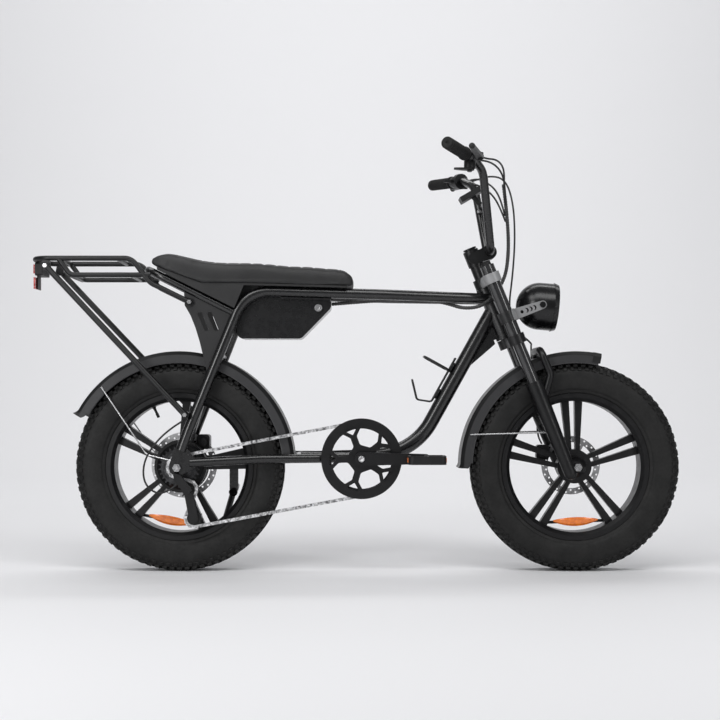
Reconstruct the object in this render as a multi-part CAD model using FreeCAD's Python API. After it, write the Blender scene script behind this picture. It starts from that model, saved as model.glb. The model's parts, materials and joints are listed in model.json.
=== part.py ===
import FreeCAD, Part
import math
import os

# A fat tyre electric bike, in millimetres. X runs forward, Y to the rider's left, Z up.
# The origin lies on the ground under the middle of the bike's length.

# Whole bike
wheelbase = 1060.0
rack_overhang = 392.0
tyre_radius = 280.0
head_angle_deg = 68.0
fit_gap = 0.3
run_gap = 0.1
overrun = 6.0

# Tyres and cast wheels
tyre_width = 98.0
tread_flat_half = 27.0
tread_drop = 9.0
shoulder_half = 42.0
tread_groove_half = 2.0
tread_groove_depth = 5.0
tread_groove_side = 14.0
bead_radius = 190.0
rim_flange_radius = 197.0
rim_window_radius = 176.0
rim_half = 39.0
rim_lip = 3.0
rim_well_half = 30.0
spoke_pairs = 5
spoke_root_side = 11.0
spoke_tip_side = 18.5
spoke_root_half = 6.0
spoke_tip_half = 10.5
spoke_thick_half = 12.0
spoke_sink = 4.0
front_spoke_phase_deg = 92.0
rear_spoke_phase_deg = 79.0
hub_radius = 27.0
hub_flange_radius = 46.0
hub_flange_half = 20.0
hub_half = 64.0
hub_nose_radius = 14.0
hub_barrel_half = 47.0
rotor_thickness = 2.0
rotor_band = 17.0
rotor_hole_radius = 2.6
rotor_hole_count = 18
rotor_arm_count = 6
rotor_arm_half = 4.0
rotor_seat_radius = 32.0
front_rotor_radius = 80.0
rear_rotor_radius = 90.0
front_rotor_side = 49.0
rear_rotor_side = 62.0
motor_radius = 62.0
motor_half = 52.0
motor_right_half = 42.0
motor_shoulder_radius = 46.0
motor_cover_radius = 72.0
motor_cover_thickness = 5.0
motor_ring_wall = 8.0
motor_nose_radius = 18.0
motor_nose_side = 60.0

# Axles
axle_radius = 6.0
front_axle_half = 92.0
rear_axle_half = 112.0
nut_radius = 11.0
nut_height = 10.0
nut_clearance = 2.0
collar_radius = 10.0
front_drop_inner = 66.0
front_drop_thickness = 10.0
rear_drop_inner = 84.0
rear_drop_thickness = 8.0

# Steering column and fork
crown_offset = 17.0
dropout_offset = 23.5
fork_side = 76.0
stanchion_radius = 16.0
stanchion_foot = 160.0
stanchion_rise = 9.0
sleeve_radius = 18.5
cap_radius = 19.0
cap_height = 14.0
knob_radius = 13.0
knob_height = 11.0
fork_travel = 40.0
crown_clearance = 13.0
crown_height = 26.0
crown_boss_radius = 24.0
crown_hub_radius = 25.0
crown_bar_half = 15.0
head_tube_height = 133.0
head_tube_radius = 23.0
headset_height = 7.0
headset_radius = 26.0
headset_gap = 1.0
steerer_radius = 14.3
steerer_rise = 2.0
leg_top = 254.0
leg_foot = -8.0
leg_top_radius = 23.0
leg_foot_radius = 17.0
leg_bore_foot = 110.0
arch_radius = 10.0
arch_ahead = 66.0
arch_top = 325.0
arch_root = 205.0
arch_knee = 255.0
arch_bend = 24.0
fork_tab_radius = 15.0
caliper_ear_thickness = 9.0
caliper_ear_inner = 62.0

# Stem and handlebar
stem_rise = 37.0
stem_height = 44.0
stem_radius = 21.0
spacer_radius = 18.0
bar_ahead = 45.0
bar_clamp_rise = 20.0
bar_radius = 11.1
bar_clamp_radius = 19.0
bar_clamp_half = 22.0
bar_knee_side = 52.0
bar_top_back = 28.0
bar_top_rise = 199.0
bar_top_side = 132.0
bar_bend_back = 56.0
bar_bend_rise = 222.0
bar_bend_side = 180.0
bar_end_back = 135.0
bar_end_rise = 235.0
bar_end_side = 340.0
bar_low_bend = 34.0
bar_high_bend = 55.0
cross_bar_radius = 8.0
cross_bar_share = 0.62
grip_length = 118.0
grip_radius = 15.5
grip_flange_radius = 18.0
grip_flange_length = 6.0
display_length = 70.0
display_width = 62.0
display_thickness = 15.0
display_tilt_deg = 30.0
display_clamp_radius = 13.0
display_clamp_half = 14.0
display_lift = 34.0
display_back = 30.0

# Hand controls, measured along the bar from its outer end
lever_clamp_at = 132.0
lever_clamp_length = 14.0
lever_clamp_radius = 16.0
lever_pivot_ahead = 36.0
lever_pivot_radius = 8.0
lever_pin_radius = 3.0
lever_drop = 8.0
lever_thickness = 9.0
lever_reach = 112.0
lever_tip_ahead = 58.0
lever_root_half = 9.0
lever_tip_half = 6.0
lever_ball_radius = 8.0
pod_at = 152.0
pod_length = 16.0
pod_radius = 16.0
pod_top = 12.0
pod_depth = 18.0
pod_body_radius = 15.0
paddle_length = 34.0
paddle_half = 7.0
paddle_thickness = 4.0
throttle_at = 147.0
throttle_length = 12.0
throttle_radius = 18.0
switch_length = 16.0
switch_radius = 22.0
throttle_tab_length = 26.0
throttle_tab_half = 8.0

# Headlight
lamp_ahead_of_axle = -92.0
lamp_above_axle = 432.0
lamp_radius = 63.5
lamp_front = 46.0
lamp_wall = 3.0
lamp_bezel = 12.0
lamp_bezel_radius = 66.0
lamp_tilt_deg = -5.0
lens_thickness = 5.0
lens_dome = 6.0
lamp_pin_radius = 4.0
lamp_pin_head_radius = 8.0
lamp_pin_head = 3.0
arm_thickness = 3.0
arm_clearance = 3.5
arm_tip_half = 11.0
arm_root_half = 16.0
lamp_clamp_rise = 52.0
lamp_clamp_height = 30.0
lamp_clamp_wall = 5.0
arm_hole_radius = 4.5
arm_crescent_radius = 6.5

# Frame tubes
rail_radius = 14.0
rail_front_side = 16.0
rail_side = 62.0
rail_front_drop = 24.3
rail_rear_z = 749.0
rail_spread_share = 0.5226
rail_bend_ahead = 178.0
rail_bend = 95.0
stay_mid_ahead = 109.0
stay_mid_rise = 297.0
stay_mid_side = 77.0
stay_low_ahead = 28.0
stay_low_rise = 95.0
stay_low_side = 88.0
stay_end_ahead = 10.0
stay_end_rise = 46.0
stay_bend = 150.0
bridge_radius = 8.0
loop_radius = 10.5
loop_side = 68.0
loop_front_ahead = 150.0
loop_front_rise = 410.0
loop_slope_deg = 26.5
loop_end_behind = 86.0
loop_bend = 56.0
down_tube_radius = 20.0
down_tube_drop = 26.0
down_bend_share = 0.2565
down_bend_rise = 23.0
down_bend = 170.0
bb_ahead_share = 0.4594
bb_rise = 23.0
bb_half = 50.0
bb_radius = 22.0
bb_cup = 4.0
bb_cup_radius = 24.0
chainstay_radius = 12.0
chainstay_root_side = 30.0
chainstay_root_behind = 14.0
chainstay_knee_behind = 163.0
chainstay_knee_side = 64.0
chainstay_mid_behind = 262.0
chainstay_mid_side = 76.0
chainstay_end_ahead = 34.0
chainstay_end_rise = 13.0
chainstay_bend = 200.0
chainstay_bridge_deg = 5.0
dropout_size = 50.0
eyelet_radius = 2.5
eyelet_share = (0.6, 0.7)
hanger_ahead = 4.0
hanger_drop = 28.0
hanger_radius = 11.0
lug_radius = 9.0
lug_outer = 104.0
lug_inner = 80.0
gusset_thickness = 4.0
gusset_lap = 31.0
gusset_slot_round = 4.0
gusset_inner = 68.0
web_thickness = 6.0

# Battery
battery_front_behind_bb = 81.0
battery_length = 252.0
battery_height = 112.0
battery_half = 45.0
battery_chamfer = 80.0
battery_flange = 4.0
battery_flange_half = 70.0
battery_round = 18.0
lock_radius = 11.0
lock_length = 5.0
lock_in = 34.0
lock_down = 30.0

# Seat
seat_nose_ahead = 464.0
seat_tail_behind = 70.0
seat_half = 92.0
seat_height = 84.0
seat_skirt = 4.0
seat_sink = 4.0
seat_base_thickness = 5.0
seat_base_half = 84.0
seat_rib_count = 11
seat_rib_pitch = 33.0
seat_rib_radius = 7.0
seat_rib_depth = 3.0
seat_rib_half = 78.0

# Rear rack and lamps
rack_radius = 7.0
rack_side = 80.0
rack_top_z = 834.0
rack_low_z = 790.0
rack_bolt_ahead = 32.0
rack_bolt_rise = 438.0
rack_knee_behind = 72.0
rack_knee_rise = 489.0
rack_crest_behind = 122.0
rack_bend = 38.0
rack_rear_bend = 45.0
rack_low_rear_share = 0.7245
rack_low_drop_share = 0.806
rack_low_bend = 24.0
rack_tab_radius = 11.0
rack_tab_thickness = 4.0
strut_radius = 8.0
strut_top_share = 0.8827
strut_top_rise = 533.0
strut_foot_ahead = 24.0
strut_foot_rise = 140.0
strut_top_side = 93.0
strut_foot_side = 113.0
strut_tab_radius = 10.0
bolt_head_radius = 6.0
bolt_head = 4.0
tail_half = 42.0
tail_height = 34.0
tail_depth = 26.0
tail_lens = 5.0
reflector_half = 34.0
reflector_height = 36.0
bracket_thickness = 3.0

# Fenders
fender_gap = 26.0
fender_skin = 3.0
fender_half = 57.0
fender_round = 9.0
fender_skirt = 26.0
rear_fender_from_deg = 2.0
rear_fender_to_deg = 150.0
front_fender_from_deg = 78.0
front_fender_to_deg = 178.0
wire_radius = 2.0

# Bottle cage
cage_wire_radius = 2.5
bottle_radius = 37.0
cage_height = 135.0
cage_boss = 3.0

# Drive
chain_side = 66.0
pitch = 12.7
ring_teeth = 48
free_teeth = 14
teeth_step = 3
pulley_teeth = 11
sprocket_count = 5
sprocket_step = 4.8
roller_radius = 3.9
tooth_height = 2.6
tooth_tip_half = 1.3
sprocket_thickness = 2.0
guard_radius = 107.0
guard_thickness = 4.0
guard_side = 71.0
ring_inner_radius = 80.0
spider_arm_half = 9.0
spider_arms = 5
spider_phase_deg = 110.0
crank_length = 170.0
crank_inner = 81.0
crank_thickness = 14.0
crank_root_radius = 18.0
crank_tip_radius = 13.0
spindle_radius = 9.0
pedal_axle_radius = 6.0
pedal_inner = 99.0
pedal_width = 88.0
pedal_length = 98.0
pedal_height = 22.0
pedal_wall = 7.0
pedal_barrel_radius = 11.0
pedal_bar_half = 4.0
guide_ahead = 27.0
guide_drop = 58.0
cage_length = 79.0
cage_thickness = 2.0
cage_gap_half = 6.5
cage_half = 12.0
pulley_bore = 4.0
plate_half = 4.1
link_waist = 3.0
link_plate = 0.9
link_inner_half = 1.5
free_body_radius = 22.5

# Brakes
caliper_length = 36.0
caliper_height = 40.0
caliper_slot_half = 2.5
front_caliper_deg = 155.0
rear_caliper_deg = 50.0

# Kickstand
stand_pivot_ahead = 135.0
stand_pivot_rise = -65.0
stand_pivot_side = 98.0
stand_foot_ahead = 66.0
stand_foot_side = 205.0
stand_leg_radius = 8.5
stand_foot_radius = 17.0
stand_foot_height = 14.0
stand_knuckle_radius = 12.0
stand_pin_radius = 5.0
stand_knuckle_half = 9.0
stand_plate_thickness = 8.0

# Cables
cable_span = 1000.0
cable_ahead = 26.1
cable_lead = 40.0
loom_entry_side = 24.0
loom_entry_drop = 18.7
loom_radius = 5.0
cable_radius = 2.5

# Places worked out from the sizes above
overall_length = tyre_radius + wheelbase + rack_overhang
front_axle_x = overall_length / 2 - tyre_radius
rear_axle_x = front_axle_x - wheelbase
axle_z = tyre_radius
rack_end_x = -overall_length / 2
rack_low_rear_behind = rack_overhang * rack_low_rear_share
rack_low_drop_behind = rack_overhang * rack_low_drop_share
strut_top_behind = rack_overhang * strut_top_share
bb_x = rear_axle_x + wheelbase * bb_ahead_share
down_bend_ahead = (front_axle_x - bb_x) * down_bend_share
bb_z = axle_z + bb_rise
roll = math.radians(head_angle_deg)
fender_outer = tyre_radius + fender_gap + fender_skin
lower_crown_foot = fender_outer + fork_travel + crown_clearance
lamp_clamp_up = lower_crown_foot + crown_height + lamp_clamp_rise
head_tube_foot = lower_crown_foot + crown_height + headset_gap + headset_height
head_tube_top = head_tube_foot + head_tube_height
upper_crown_foot = head_tube_top + headset_height + headset_gap
upper_crown_top = upper_crown_foot + crown_height
stanchion_top = upper_crown_top + stanchion_rise
stem_foot = upper_crown_top + stem_rise
steerer_top = stem_foot + stem_height + steerer_rise
bar_up = stem_foot + bar_clamp_rise
battery_front_x = bb_x - battery_front_behind_bb
battery_roof_z = rail_rear_z - rail_radius - fit_gap
gusset_reach = rail_rear_z - axle_z + gusset_lap


def vec(x, y, z):
    return FreeCAD.Vector(x, y, z)


origin = vec(0, 0, 0)
side_axis = vec(0, 1, 0)
front_axle = vec(front_axle_x, 0, axle_z)
rear_axle = vec(rear_axle_x, 0, axle_z)
bb_centre = vec(bb_x, 0, bb_z)
steer_up = vec(-math.cos(roll), 0, math.sin(roll))
steer_ahead = vec(math.sin(roll), 0, math.cos(roll))
steer_foot = front_axle - steer_ahead * (crown_offset + dropout_offset)


# A point given ahead of the steering axis, to the left of it and up along it
def steer_point(ahead, side, up):
    return steer_foot + steer_ahead * ahead + side_axis * side + steer_up * up


# A point given from the rear axle: ahead of it, above it and to the left
def rear_point(ahead, rise, side):
    return rear_axle + vec(ahead, side, rise)


def mirrored(shape):
    return shape.mirror(origin, side_axis)


def both_sides(shape):
    return Part.makeCompound([shape, mirrored(shape)])


def on_circle(centre, radius, angle_deg):
    angle = math.radians(angle_deg)
    return centre + vec(radius * math.cos(angle), 0, radius * math.sin(angle))


# One corner of a route: where its tangent arc starts, its middle and its end
def corner_arc(before, corner, after, bend):
    into = (before - corner).normalize()
    out = (after - corner).normalize()
    half_angle = into.getAngle(out) / 2
    reach = bend / math.tan(half_angle)
    middle = (into + out).normalize() * (bend / math.sin(half_angle) - bend)
    return corner + into * reach, corner + middle, corner + out * reach


# Straight runs joined by tangent arcs
def rounded_path(points, bends):
    edges = []
    start = points[0]
    for index, bend in enumerate(bends):
        first, middle, last = corner_arc(points[index], points[index + 1], points[index + 2], bend)
        edges.append(Part.LineSegment(start, first).toShape())
        edges.append(Part.Arc(first, middle, last).toShape())
        start = last
    edges.append(Part.LineSegment(start, points[-1]).toShape())
    return Part.Wire(edges)


def rounded_loop(points, bend):
    count = len(points)
    corners = []
    for index in range(count):
        corners.append(corner_arc(points[index - 1], points[index], points[(index + 1) % count], bend))
    edges = []
    for index, (first, middle, last) in enumerate(corners):
        edges.append(Part.Arc(first, middle, last).toShape())
        edges.append(Part.LineSegment(last, corners[(index + 1) % count][0]).toShape())
    return Part.Wire(edges)


def upright(shape):
    if shape.Volume < 0:
        shape.reverse()
    return shape


def pipe(points, bends, radius):
    path = rounded_path(points, bends)
    ring = Part.Wire(Part.makeCircle(radius, points[0], points[1] - points[0]))
    return upright(path.makePipe(Part.Face(ring)))


# The largest bend that each corner of a cable's route leaves room for
def cable(points, radius):
    run_share = 0.45
    bends = []
    for before, corner, after in zip(points, points[1:], points[2:]):
        half_angle = (before - corner).getAngle(after - corner) / 2
        shorter = min((corner - before).Length, (after - corner).Length)
        bends.append(run_share * shorter * math.tan(half_angle))
    return pipe(points, bends, radius)


def rod(start, end, radius):
    return Part.makeCylinder(radius, (end - start).Length, start, end - start)


def cone(start, end, start_radius, end_radius):
    return Part.makeCone(start_radius, end_radius, (end - start).Length, start, end - start)


def block(low, high):
    size = high - low
    return Part.makeBox(size.x, size.y, size.z, low)


def polygon(points):
    return Part.makePolygon(points + points[:1])


def plate(wire, depth):
    return upright(Part.Face(wire).extrude(depth))


# Round plate between two sides, its axis along Y
def disc(centre, radius, low_side, high_side):
    return Part.makeCylinder(radius, high_side - low_side, centre + side_axis * low_side, side_axis)


def turned(centre, outline, axis=side_axis):
    face = Part.Face(polygon(outline))
    return upright(face.revolve(centre, axis, 360))


# Outline of a turned wheel part, given as pairs of side and radius
def wheel_points(centre, pairs):
    return [centre + vec(0, side, radius) for side, radius in pairs]


def hexagon(centre, axis, radius, height):
    across = vec(axis.z, axis.x, axis.y).cross(axis).normalize()
    other = axis.cross(across)
    corners = []
    for turn in range(6):
        angle = math.radians(turn * 60)
        corners.append(centre + across * (radius * math.cos(angle)) + other * (radius * math.sin(angle)))
    return plate(polygon(corners), axis * height)


# A flat link whose outline wraps two round ends
def strap(start, start_radius, end, end_radius, low_side, high_side):
    along = end - start
    turn = math.acos((start_radius - end_radius) / along.Length)
    heading = math.atan2(along.z, along.x)
    ends = []
    for centre, radius, opening in ((start, start_radius, math.pi), (end, end_radius, 0)):
        points = []
        for angle in (heading + turn, heading + opening, heading - turn):
            points.append(vec(centre.x + radius * math.cos(angle), low_side,
                              centre.z + radius * math.sin(angle)))
        ends.append(points)
    near, far = ends
    edges = [Part.Arc(near[0], near[1], near[2]).toShape(), Part.LineSegment(near[2], far[2]).toShape(),
             Part.Arc(far[2], far[1], far[0]).toShape(), Part.LineSegment(far[0], near[0]).toShape()]
    return plate(Part.Wire(edges), side_axis * (high_side - low_side))


# Wheels
def tyre(centre):
    inner_half = rim_half - rim_lip - fit_gap
    sidewall_foot = rim_flange_radius + fit_gap
    shoulder_radius = tyre_radius - tread_drop
    wall_middle = (sidewall_foot + shoulder_radius) / 2
    arc_middle = ((tread_flat_half + shoulder_half) / 2, tyre_radius - tread_drop / 3)

    def at(side, radius):
        return centre + vec(0, side, radius)

    def line(start, end):
        return Part.LineSegment(at(*start), at(*end)).toShape()

    def arc(start, middle, end):
        return Part.Arc(at(*start), at(*middle), at(*end)).toShape()

    bead = (inner_half, bead_radius + fit_gap)
    foot = (inner_half, sidewall_foot)
    bulge = (tyre_width / 2, wall_middle)
    shoulder = (shoulder_half, shoulder_radius)
    crown = (tread_flat_half, tyre_radius)
    left = [line(bead, foot), arc(foot, bulge, shoulder), arc(shoulder, arc_middle, crown)]
    flip = [(-side, radius) for side, radius in (bead, foot, bulge, shoulder, arc_middle, crown)]
    right = [arc(flip[5], flip[4], flip[3]), arc(flip[3], flip[2], flip[1]), line(flip[1], flip[0])]
    wire = Part.Wire(left + [line(crown, flip[5])] + right + [line(flip[0], bead)])
    ring = upright(Part.Face(wire).revolve(centre, side_axis, 360))
    floor = tyre_radius - tread_groove_depth
    for side in (-tread_groove_side, tread_groove_side):
        low = side - tread_groove_half
        high = side + tread_groove_half
        top = tyre_radius + overrun
        groove = [(low, floor), (high, floor), (high, top), (low, top)]
        ring = ring.cut(turned(centre, wheel_points(centre, groove)))
    return ring


def rim_ring(centre):
    seat_half = rim_half - rim_lip
    step = rim_half - rim_well_half
    half = [(seat_half, bead_radius), (seat_half, rim_flange_radius), (rim_half, rim_flange_radius),
            (rim_half, rim_window_radius + step), (rim_well_half, rim_window_radius)]
    other = [(-side, radius) for side, radius in reversed(half)]
    return turned(centre, wheel_points(centre, half + other))


def spokes(centre, root_radius, phase_deg):
    bars = []
    root = root_radius - spoke_sink
    tip = rim_window_radius + spoke_sink
    for pair in range(spoke_pairs):
        for facing in (-1, 1):
            root_side = facing * spoke_root_side
            tip_side = facing * spoke_tip_side
            corners = [(root, root_side - spoke_root_half), (tip, tip_side - spoke_tip_half),
                       (tip, tip_side + spoke_tip_half), (root, root_side + spoke_root_half)]
            points = [centre + vec(out, -spoke_thick_half, across) for out, across in corners]
            bar = plate(polygon(points), side_axis * (2 * spoke_thick_half))
            bar.rotate(centre, side_axis, -phase_deg - pair * 360 / spoke_pairs)
            bars.append(bar)
    return bars


def front_rim():
    rotor_face = front_rotor_side - rotor_thickness / 2 - fit_gap
    outline = [(-hub_half, 0), (-hub_half, hub_nose_radius), (-hub_barrel_half, hub_radius),
               (-hub_flange_half, hub_radius), (-hub_flange_half, hub_flange_radius),
               (hub_flange_half, hub_flange_radius), (hub_flange_half, rotor_seat_radius),
               (rotor_face, rotor_seat_radius), (rotor_face, hub_nose_radius), (hub_half, hub_nose_radius),
               (hub_half, 0)]
    hub = turned(front_axle, wheel_points(front_axle, outline))
    bars = spokes(front_axle, hub_flange_radius, front_spoke_phase_deg)
    wheel = rim_ring(front_axle).multiFuse([hub] + bars)
    return wheel.cut(disc(front_axle, axle_radius + run_gap, -hub_half - overrun, hub_half + overrun))


def rear_rim():
    inner = motor_radius + fit_gap
    outer = inner + motor_ring_wall
    outline = [(-hub_flange_half, inner), (-hub_flange_half, outer), (hub_flange_half, outer),
               (hub_flange_half, inner)]
    ring = turned(rear_axle, wheel_points(rear_axle, outline))
    return rim_ring(rear_axle).multiFuse([ring] + spokes(rear_axle, outer, rear_spoke_phase_deg))


def hub_motor():
    cover = hub_flange_half + fit_gap
    rim_side = cover + motor_cover_thickness
    rotor_face = rear_rotor_side - rotor_thickness / 2 - fit_gap
    outline = [(-motor_nose_side, axle_radius + run_gap), (-motor_nose_side, motor_nose_radius),
               (-motor_right_half, motor_nose_radius), (-motor_right_half, motor_shoulder_radius),
               (-rim_side, motor_radius), (-cover, motor_radius),
               (cover, motor_radius), (cover, motor_cover_radius), (rim_side, motor_cover_radius),
               (motor_half, rotor_seat_radius), (rotor_face, rotor_seat_radius),
               (rotor_face, axle_radius + run_gap)]
    return turned(rear_axle, wheel_points(rear_axle, outline))


def rotor(centre, radius, side):
    low = side - rotor_thickness / 2
    high = side + rotor_thickness / 2
    inside = disc(centre, radius - rotor_band, low - overrun, high + overrun)
    band = disc(centre, radius, low, high).cut(inside)
    seat = disc(centre, rotor_seat_radius, low, high)
    arms = []
    for arm in range(rotor_arm_count):
        bar = block(centre + vec(0, low, -rotor_arm_half),
                    centre + vec(radius - rotor_band / 2, high, rotor_arm_half))
        bar.rotate(centre, side_axis, arm * 360 / rotor_arm_count)
        arms.append(bar)
    row_shares = (0.3, 0.7)
    holes = [disc(centre, hub_nose_radius + fit_gap, low - overrun, high + overrun)]
    for row, share in enumerate(row_shares):
        for hole in range(rotor_hole_count):
            middle = on_circle(centre, radius - share * rotor_band,
                               (hole + row / 2) * 360 / rotor_hole_count)
            holes.append(disc(middle, rotor_hole_radius, low - overrun, high + overrun))
    return band.multiFuse([seat] + arms).cut(Part.makeCompound(holes))


# An axle with its nuts, and collars that fill the room between hub and dropouts
def axle(centre, half, drop_inner, drop_thickness, hub_end):
    shaft = disc(centre, axle_radius, -half, half)
    fittings = []
    for facing in (-1, 1):
        foot = centre + side_axis * (facing * (drop_inner + drop_thickness + fit_gap))
        fittings.append(hexagon(foot, side_axis * facing, nut_radius, nut_height))
        sides = sorted((facing * (hub_end + fit_gap), facing * (drop_inner - fit_gap)))
        fittings.append(disc(centre, collar_radius, sides[0], sides[1]))
    return shaft.multiFuse(fittings)


# Fork and steering
def crown_outline(foot):
    low = steer_point(0, 0, foot)
    shapes = [Part.makeCylinder(crown_hub_radius, crown_height, low, steer_up)]
    for side in (-fork_side, fork_side):
        boss = steer_point(crown_offset, side, foot)
        shapes.append(Part.makeCylinder(crown_boss_radius, crown_height, boss, steer_up))
        across = (boss - low).normalize()
        edge = steer_up.cross(across) * crown_bar_half
        bar = plate(polygon([low - edge, boss - edge, boss + edge, low + edge]), steer_up * crown_height)
        shapes.append(bar)
    return shapes[0].multiFuse(shapes[1:])


def stanchion_bores(radius):
    bores = []
    for side in (-fork_side, fork_side):
        low = steer_point(crown_offset, side, lower_crown_foot - overrun)
        high = steer_point(crown_offset, side, stanchion_top + overrun)
        bores.append(rod(low, high, radius))
    return Part.makeCompound(bores)


def lower_crown():
    steerer = rod(steer_point(0, 0, lower_crown_foot + crown_height / 2), steer_point(0, 0, steerer_top),
                  steerer_radius)
    return crown_outline(lower_crown_foot).cut(stanchion_bores(stanchion_radius + fit_gap)).fuse(steerer)


def upper_crown():
    low = steer_point(0, 0, upper_crown_foot - overrun)
    bore = rod(low, steer_point(0, 0, steerer_top), steerer_radius + fit_gap)
    return crown_outline(upper_crown_foot).cut(stanchion_bores(stanchion_radius + fit_gap)).cut(bore)


def stanchions():
    crown_top = lower_crown_foot + crown_height
    legs = []
    for side in (-fork_side, fork_side):
        tube = rod(steer_point(crown_offset, side, stanchion_foot),
                   steer_point(crown_offset, side, stanchion_top),
                   stanchion_radius)
        sleeve = rod(steer_point(crown_offset, side, crown_top + fit_gap),
                     steer_point(crown_offset, side, upper_crown_foot - fit_gap), sleeve_radius)
        cap_foot = upper_crown_top + fit_gap
        cap = rod(steer_point(crown_offset, side, cap_foot),
                  steer_point(crown_offset, side, stanchion_top + cap_height), cap_radius)
        legs.append(tube.multiFuse([sleeve, cap]))
    return Part.makeCompound(legs)


def preload_knob():
    foot = steer_point(crown_offset, -fork_side, stanchion_top + cap_height + fit_gap)
    knob = hexagon(foot, steer_up, knob_radius, knob_height)
    return knob.fuse(Part.makeCylinder(knob_radius, knob_height / 2, foot, steer_up))


def fork_leg(side):
    facing = math.copysign(1, side)
    top = steer_point(crown_offset, side, leg_top)
    foot = steer_point(crown_offset, side, leg_foot)
    leg = cone(foot, top, leg_foot_radius, leg_top_radius)
    tab_low = facing * front_drop_inner
    tab_high = facing * (front_drop_inner + front_drop_thickness)
    root = steer_point(crown_offset, 0, fork_tab_radius)
    tab = strap(root, fork_tab_radius, front_axle, fork_tab_radius, min(tab_low, tab_high),
                max(tab_low, tab_high))
    bore = rod(steer_point(crown_offset, side, leg_bore_foot),
               steer_point(crown_offset, side, leg_top + overrun),
               stanchion_radius + run_gap)
    return leg.multiFuse([Part.makeSphere(leg_foot_radius, foot), tab]).cut(bore)


def caliper_ear():
    seat = on_circle(front_axle, front_rotor_radius, front_caliper_deg)
    root = steer_point(crown_offset, 0, (seat - steer_foot).dot(steer_up))
    low = caliper_ear_inner
    return strap(seat, fork_tab_radius, root, fork_tab_radius, low, low + caliper_ear_thickness)


def fork_lowers():
    ahead = crown_offset + leg_top_radius / 2
    points = [steer_point(ahead, -fork_side, arch_root), steer_point(arch_ahead, -fork_side, arch_knee),
              steer_point(arch_ahead, -fork_side, arch_top), steer_point(arch_ahead, fork_side, arch_top),
              steer_point(arch_ahead, fork_side, arch_knee), steer_point(ahead, fork_side, arch_root)]
    arch = pipe(points, [arch_bend] * 4, arch_radius)
    bores = []
    for side in (-fork_side, fork_side):
        bores.append(rod(steer_point(crown_offset, side, leg_bore_foot),
                         steer_point(crown_offset, side, arch_top), stanchion_radius + run_gap))
    lowers = fork_leg(-fork_side).multiFuse([fork_leg(fork_side), arch, caliper_ear()])
    drop_span = front_drop_inner + front_drop_thickness + overrun
    bores.append(disc(front_axle, axle_radius + fit_gap, -drop_span, drop_span))
    bores.append(disc(front_axle, rotor_seat_radius, -front_drop_inner, front_drop_inner))
    face = front_drop_inner + front_drop_thickness
    for facing in (-1, 1):
        sides = sorted((facing * face, facing * (face + 3 * nut_height)))
        bores.append(disc(front_axle, nut_radius + nut_clearance, sides[0], sides[1]))
    for bore in bores:
        lowers = lowers.cut(bore)
    return lowers


# A brake caliper: a block that straddles the rotor's edge, with its slot and the drum of its cable arm
def caliper(centre, hub, rotor_radius, rotor_side, back_side):
    low_side = 2 * rotor_side - back_side
    half = vec(caliper_length / 2, 0, caliper_height / 2)
    body = block(centre - half + side_axis * low_side, centre + half + side_axis * back_side)
    edges = [edge for edge in body.Edges if edge.BoundBox.YLength > caliper_slot_half]
    body = body.makeFillet(caliper_length / 4, edges)
    slot = disc(hub, rotor_radius + caliper_slot_half, rotor_side - caliper_slot_half,
                rotor_side + caliper_slot_half)
    drum = disc(centre, caliper_length / 3, low_side - caliper_length / 4, low_side)
    return body.cut(slot).fuse(drum)


# Frame
rail_front_z = steer_point(0, 0, head_tube_top).z - rail_front_drop
rail_front_x = steer_foot.x - (rail_front_z - steer_foot.z) / math.tan(roll)
down_tube_top_z = rail_front_z - down_tube_drop
down_tube_top_x = steer_foot.x - (down_tube_top_z - steer_foot.z) / math.tan(roll)
rail_bend_x = rear_axle_x + rail_bend_ahead
bridge_orbit = fender_outer + fit_gap + bridge_radius


# Height of the rails' centre line above a place along the bike
def rail_z(x):
    share = (x - rail_bend_x) / (rail_front_x - rail_bend_x)
    return rail_rear_z + (rail_front_z - rail_rear_z) * share


def rail_tube(facing):
    spread_x = rear_axle_x + wheelbase * rail_spread_share
    points = [vec(rail_front_x, facing * rail_front_side, rail_front_z),
              vec(spread_x, facing * rail_side, rail_z(spread_x)),
              vec(rail_bend_x, facing * rail_side, rail_rear_z),
              rear_point(stay_mid_ahead, stay_mid_rise, facing * stay_mid_side),
              rear_point(stay_low_ahead, stay_low_rise, facing * stay_low_side),
              rear_point(stay_end_ahead, stay_end_rise, facing * stay_low_side)]
    return pipe(points, [stay_bend, rail_bend, stay_bend, stay_bend], rail_radius)


def dropout(facing):
    outline_shares = [(-0.36, -0.30), (0.30, -0.34), (0.95, 0.0), (0.95, 0.5), (0.45, 1.1), (-0.05, 1.1),
                      (-0.4, 0.2)]
    low = min(facing * rear_drop_inner, facing * (rear_drop_inner + rear_drop_thickness))
    points = [rear_point(ahead * dropout_size, rise * dropout_size, low) for ahead, rise in outline_shares]
    body = plate(rounded_loop(points, dropout_size / 10), side_axis * rear_drop_thickness)
    slot_half = axle_radius + fit_gap
    slot = block(rear_point(-slot_half, -dropout_size, low - overrun),
                 rear_point(slot_half, 0, low + rear_drop_thickness + overrun))
    hole = disc(rear_axle, slot_half, low - overrun, low + rear_drop_thickness + overrun)
    eyelet = disc(eyelet_centre(), eyelet_radius, low - overrun, low + rear_drop_thickness + overrun)
    return body, Part.makeCompound([slot.fuse(hole), eyelet])


def eyelet_centre():
    return rear_point(eyelet_share[0] * dropout_size, eyelet_share[1] * dropout_size, 0)


def strut_lug(facing):
    centre = rear_point(strut_foot_ahead, strut_foot_rise, 0)
    sides = sorted((facing * lug_inner, facing * lug_outer))
    return disc(centre, lug_radius, sides[0], sides[1])


def hanger():
    low = -rear_drop_inner - rear_drop_thickness
    eye = rear_point(hanger_ahead, -hanger_drop, 0)
    return strap(rear_axle, dropout_size / 3, eye, hanger_radius, low, -rear_drop_inner)


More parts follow.
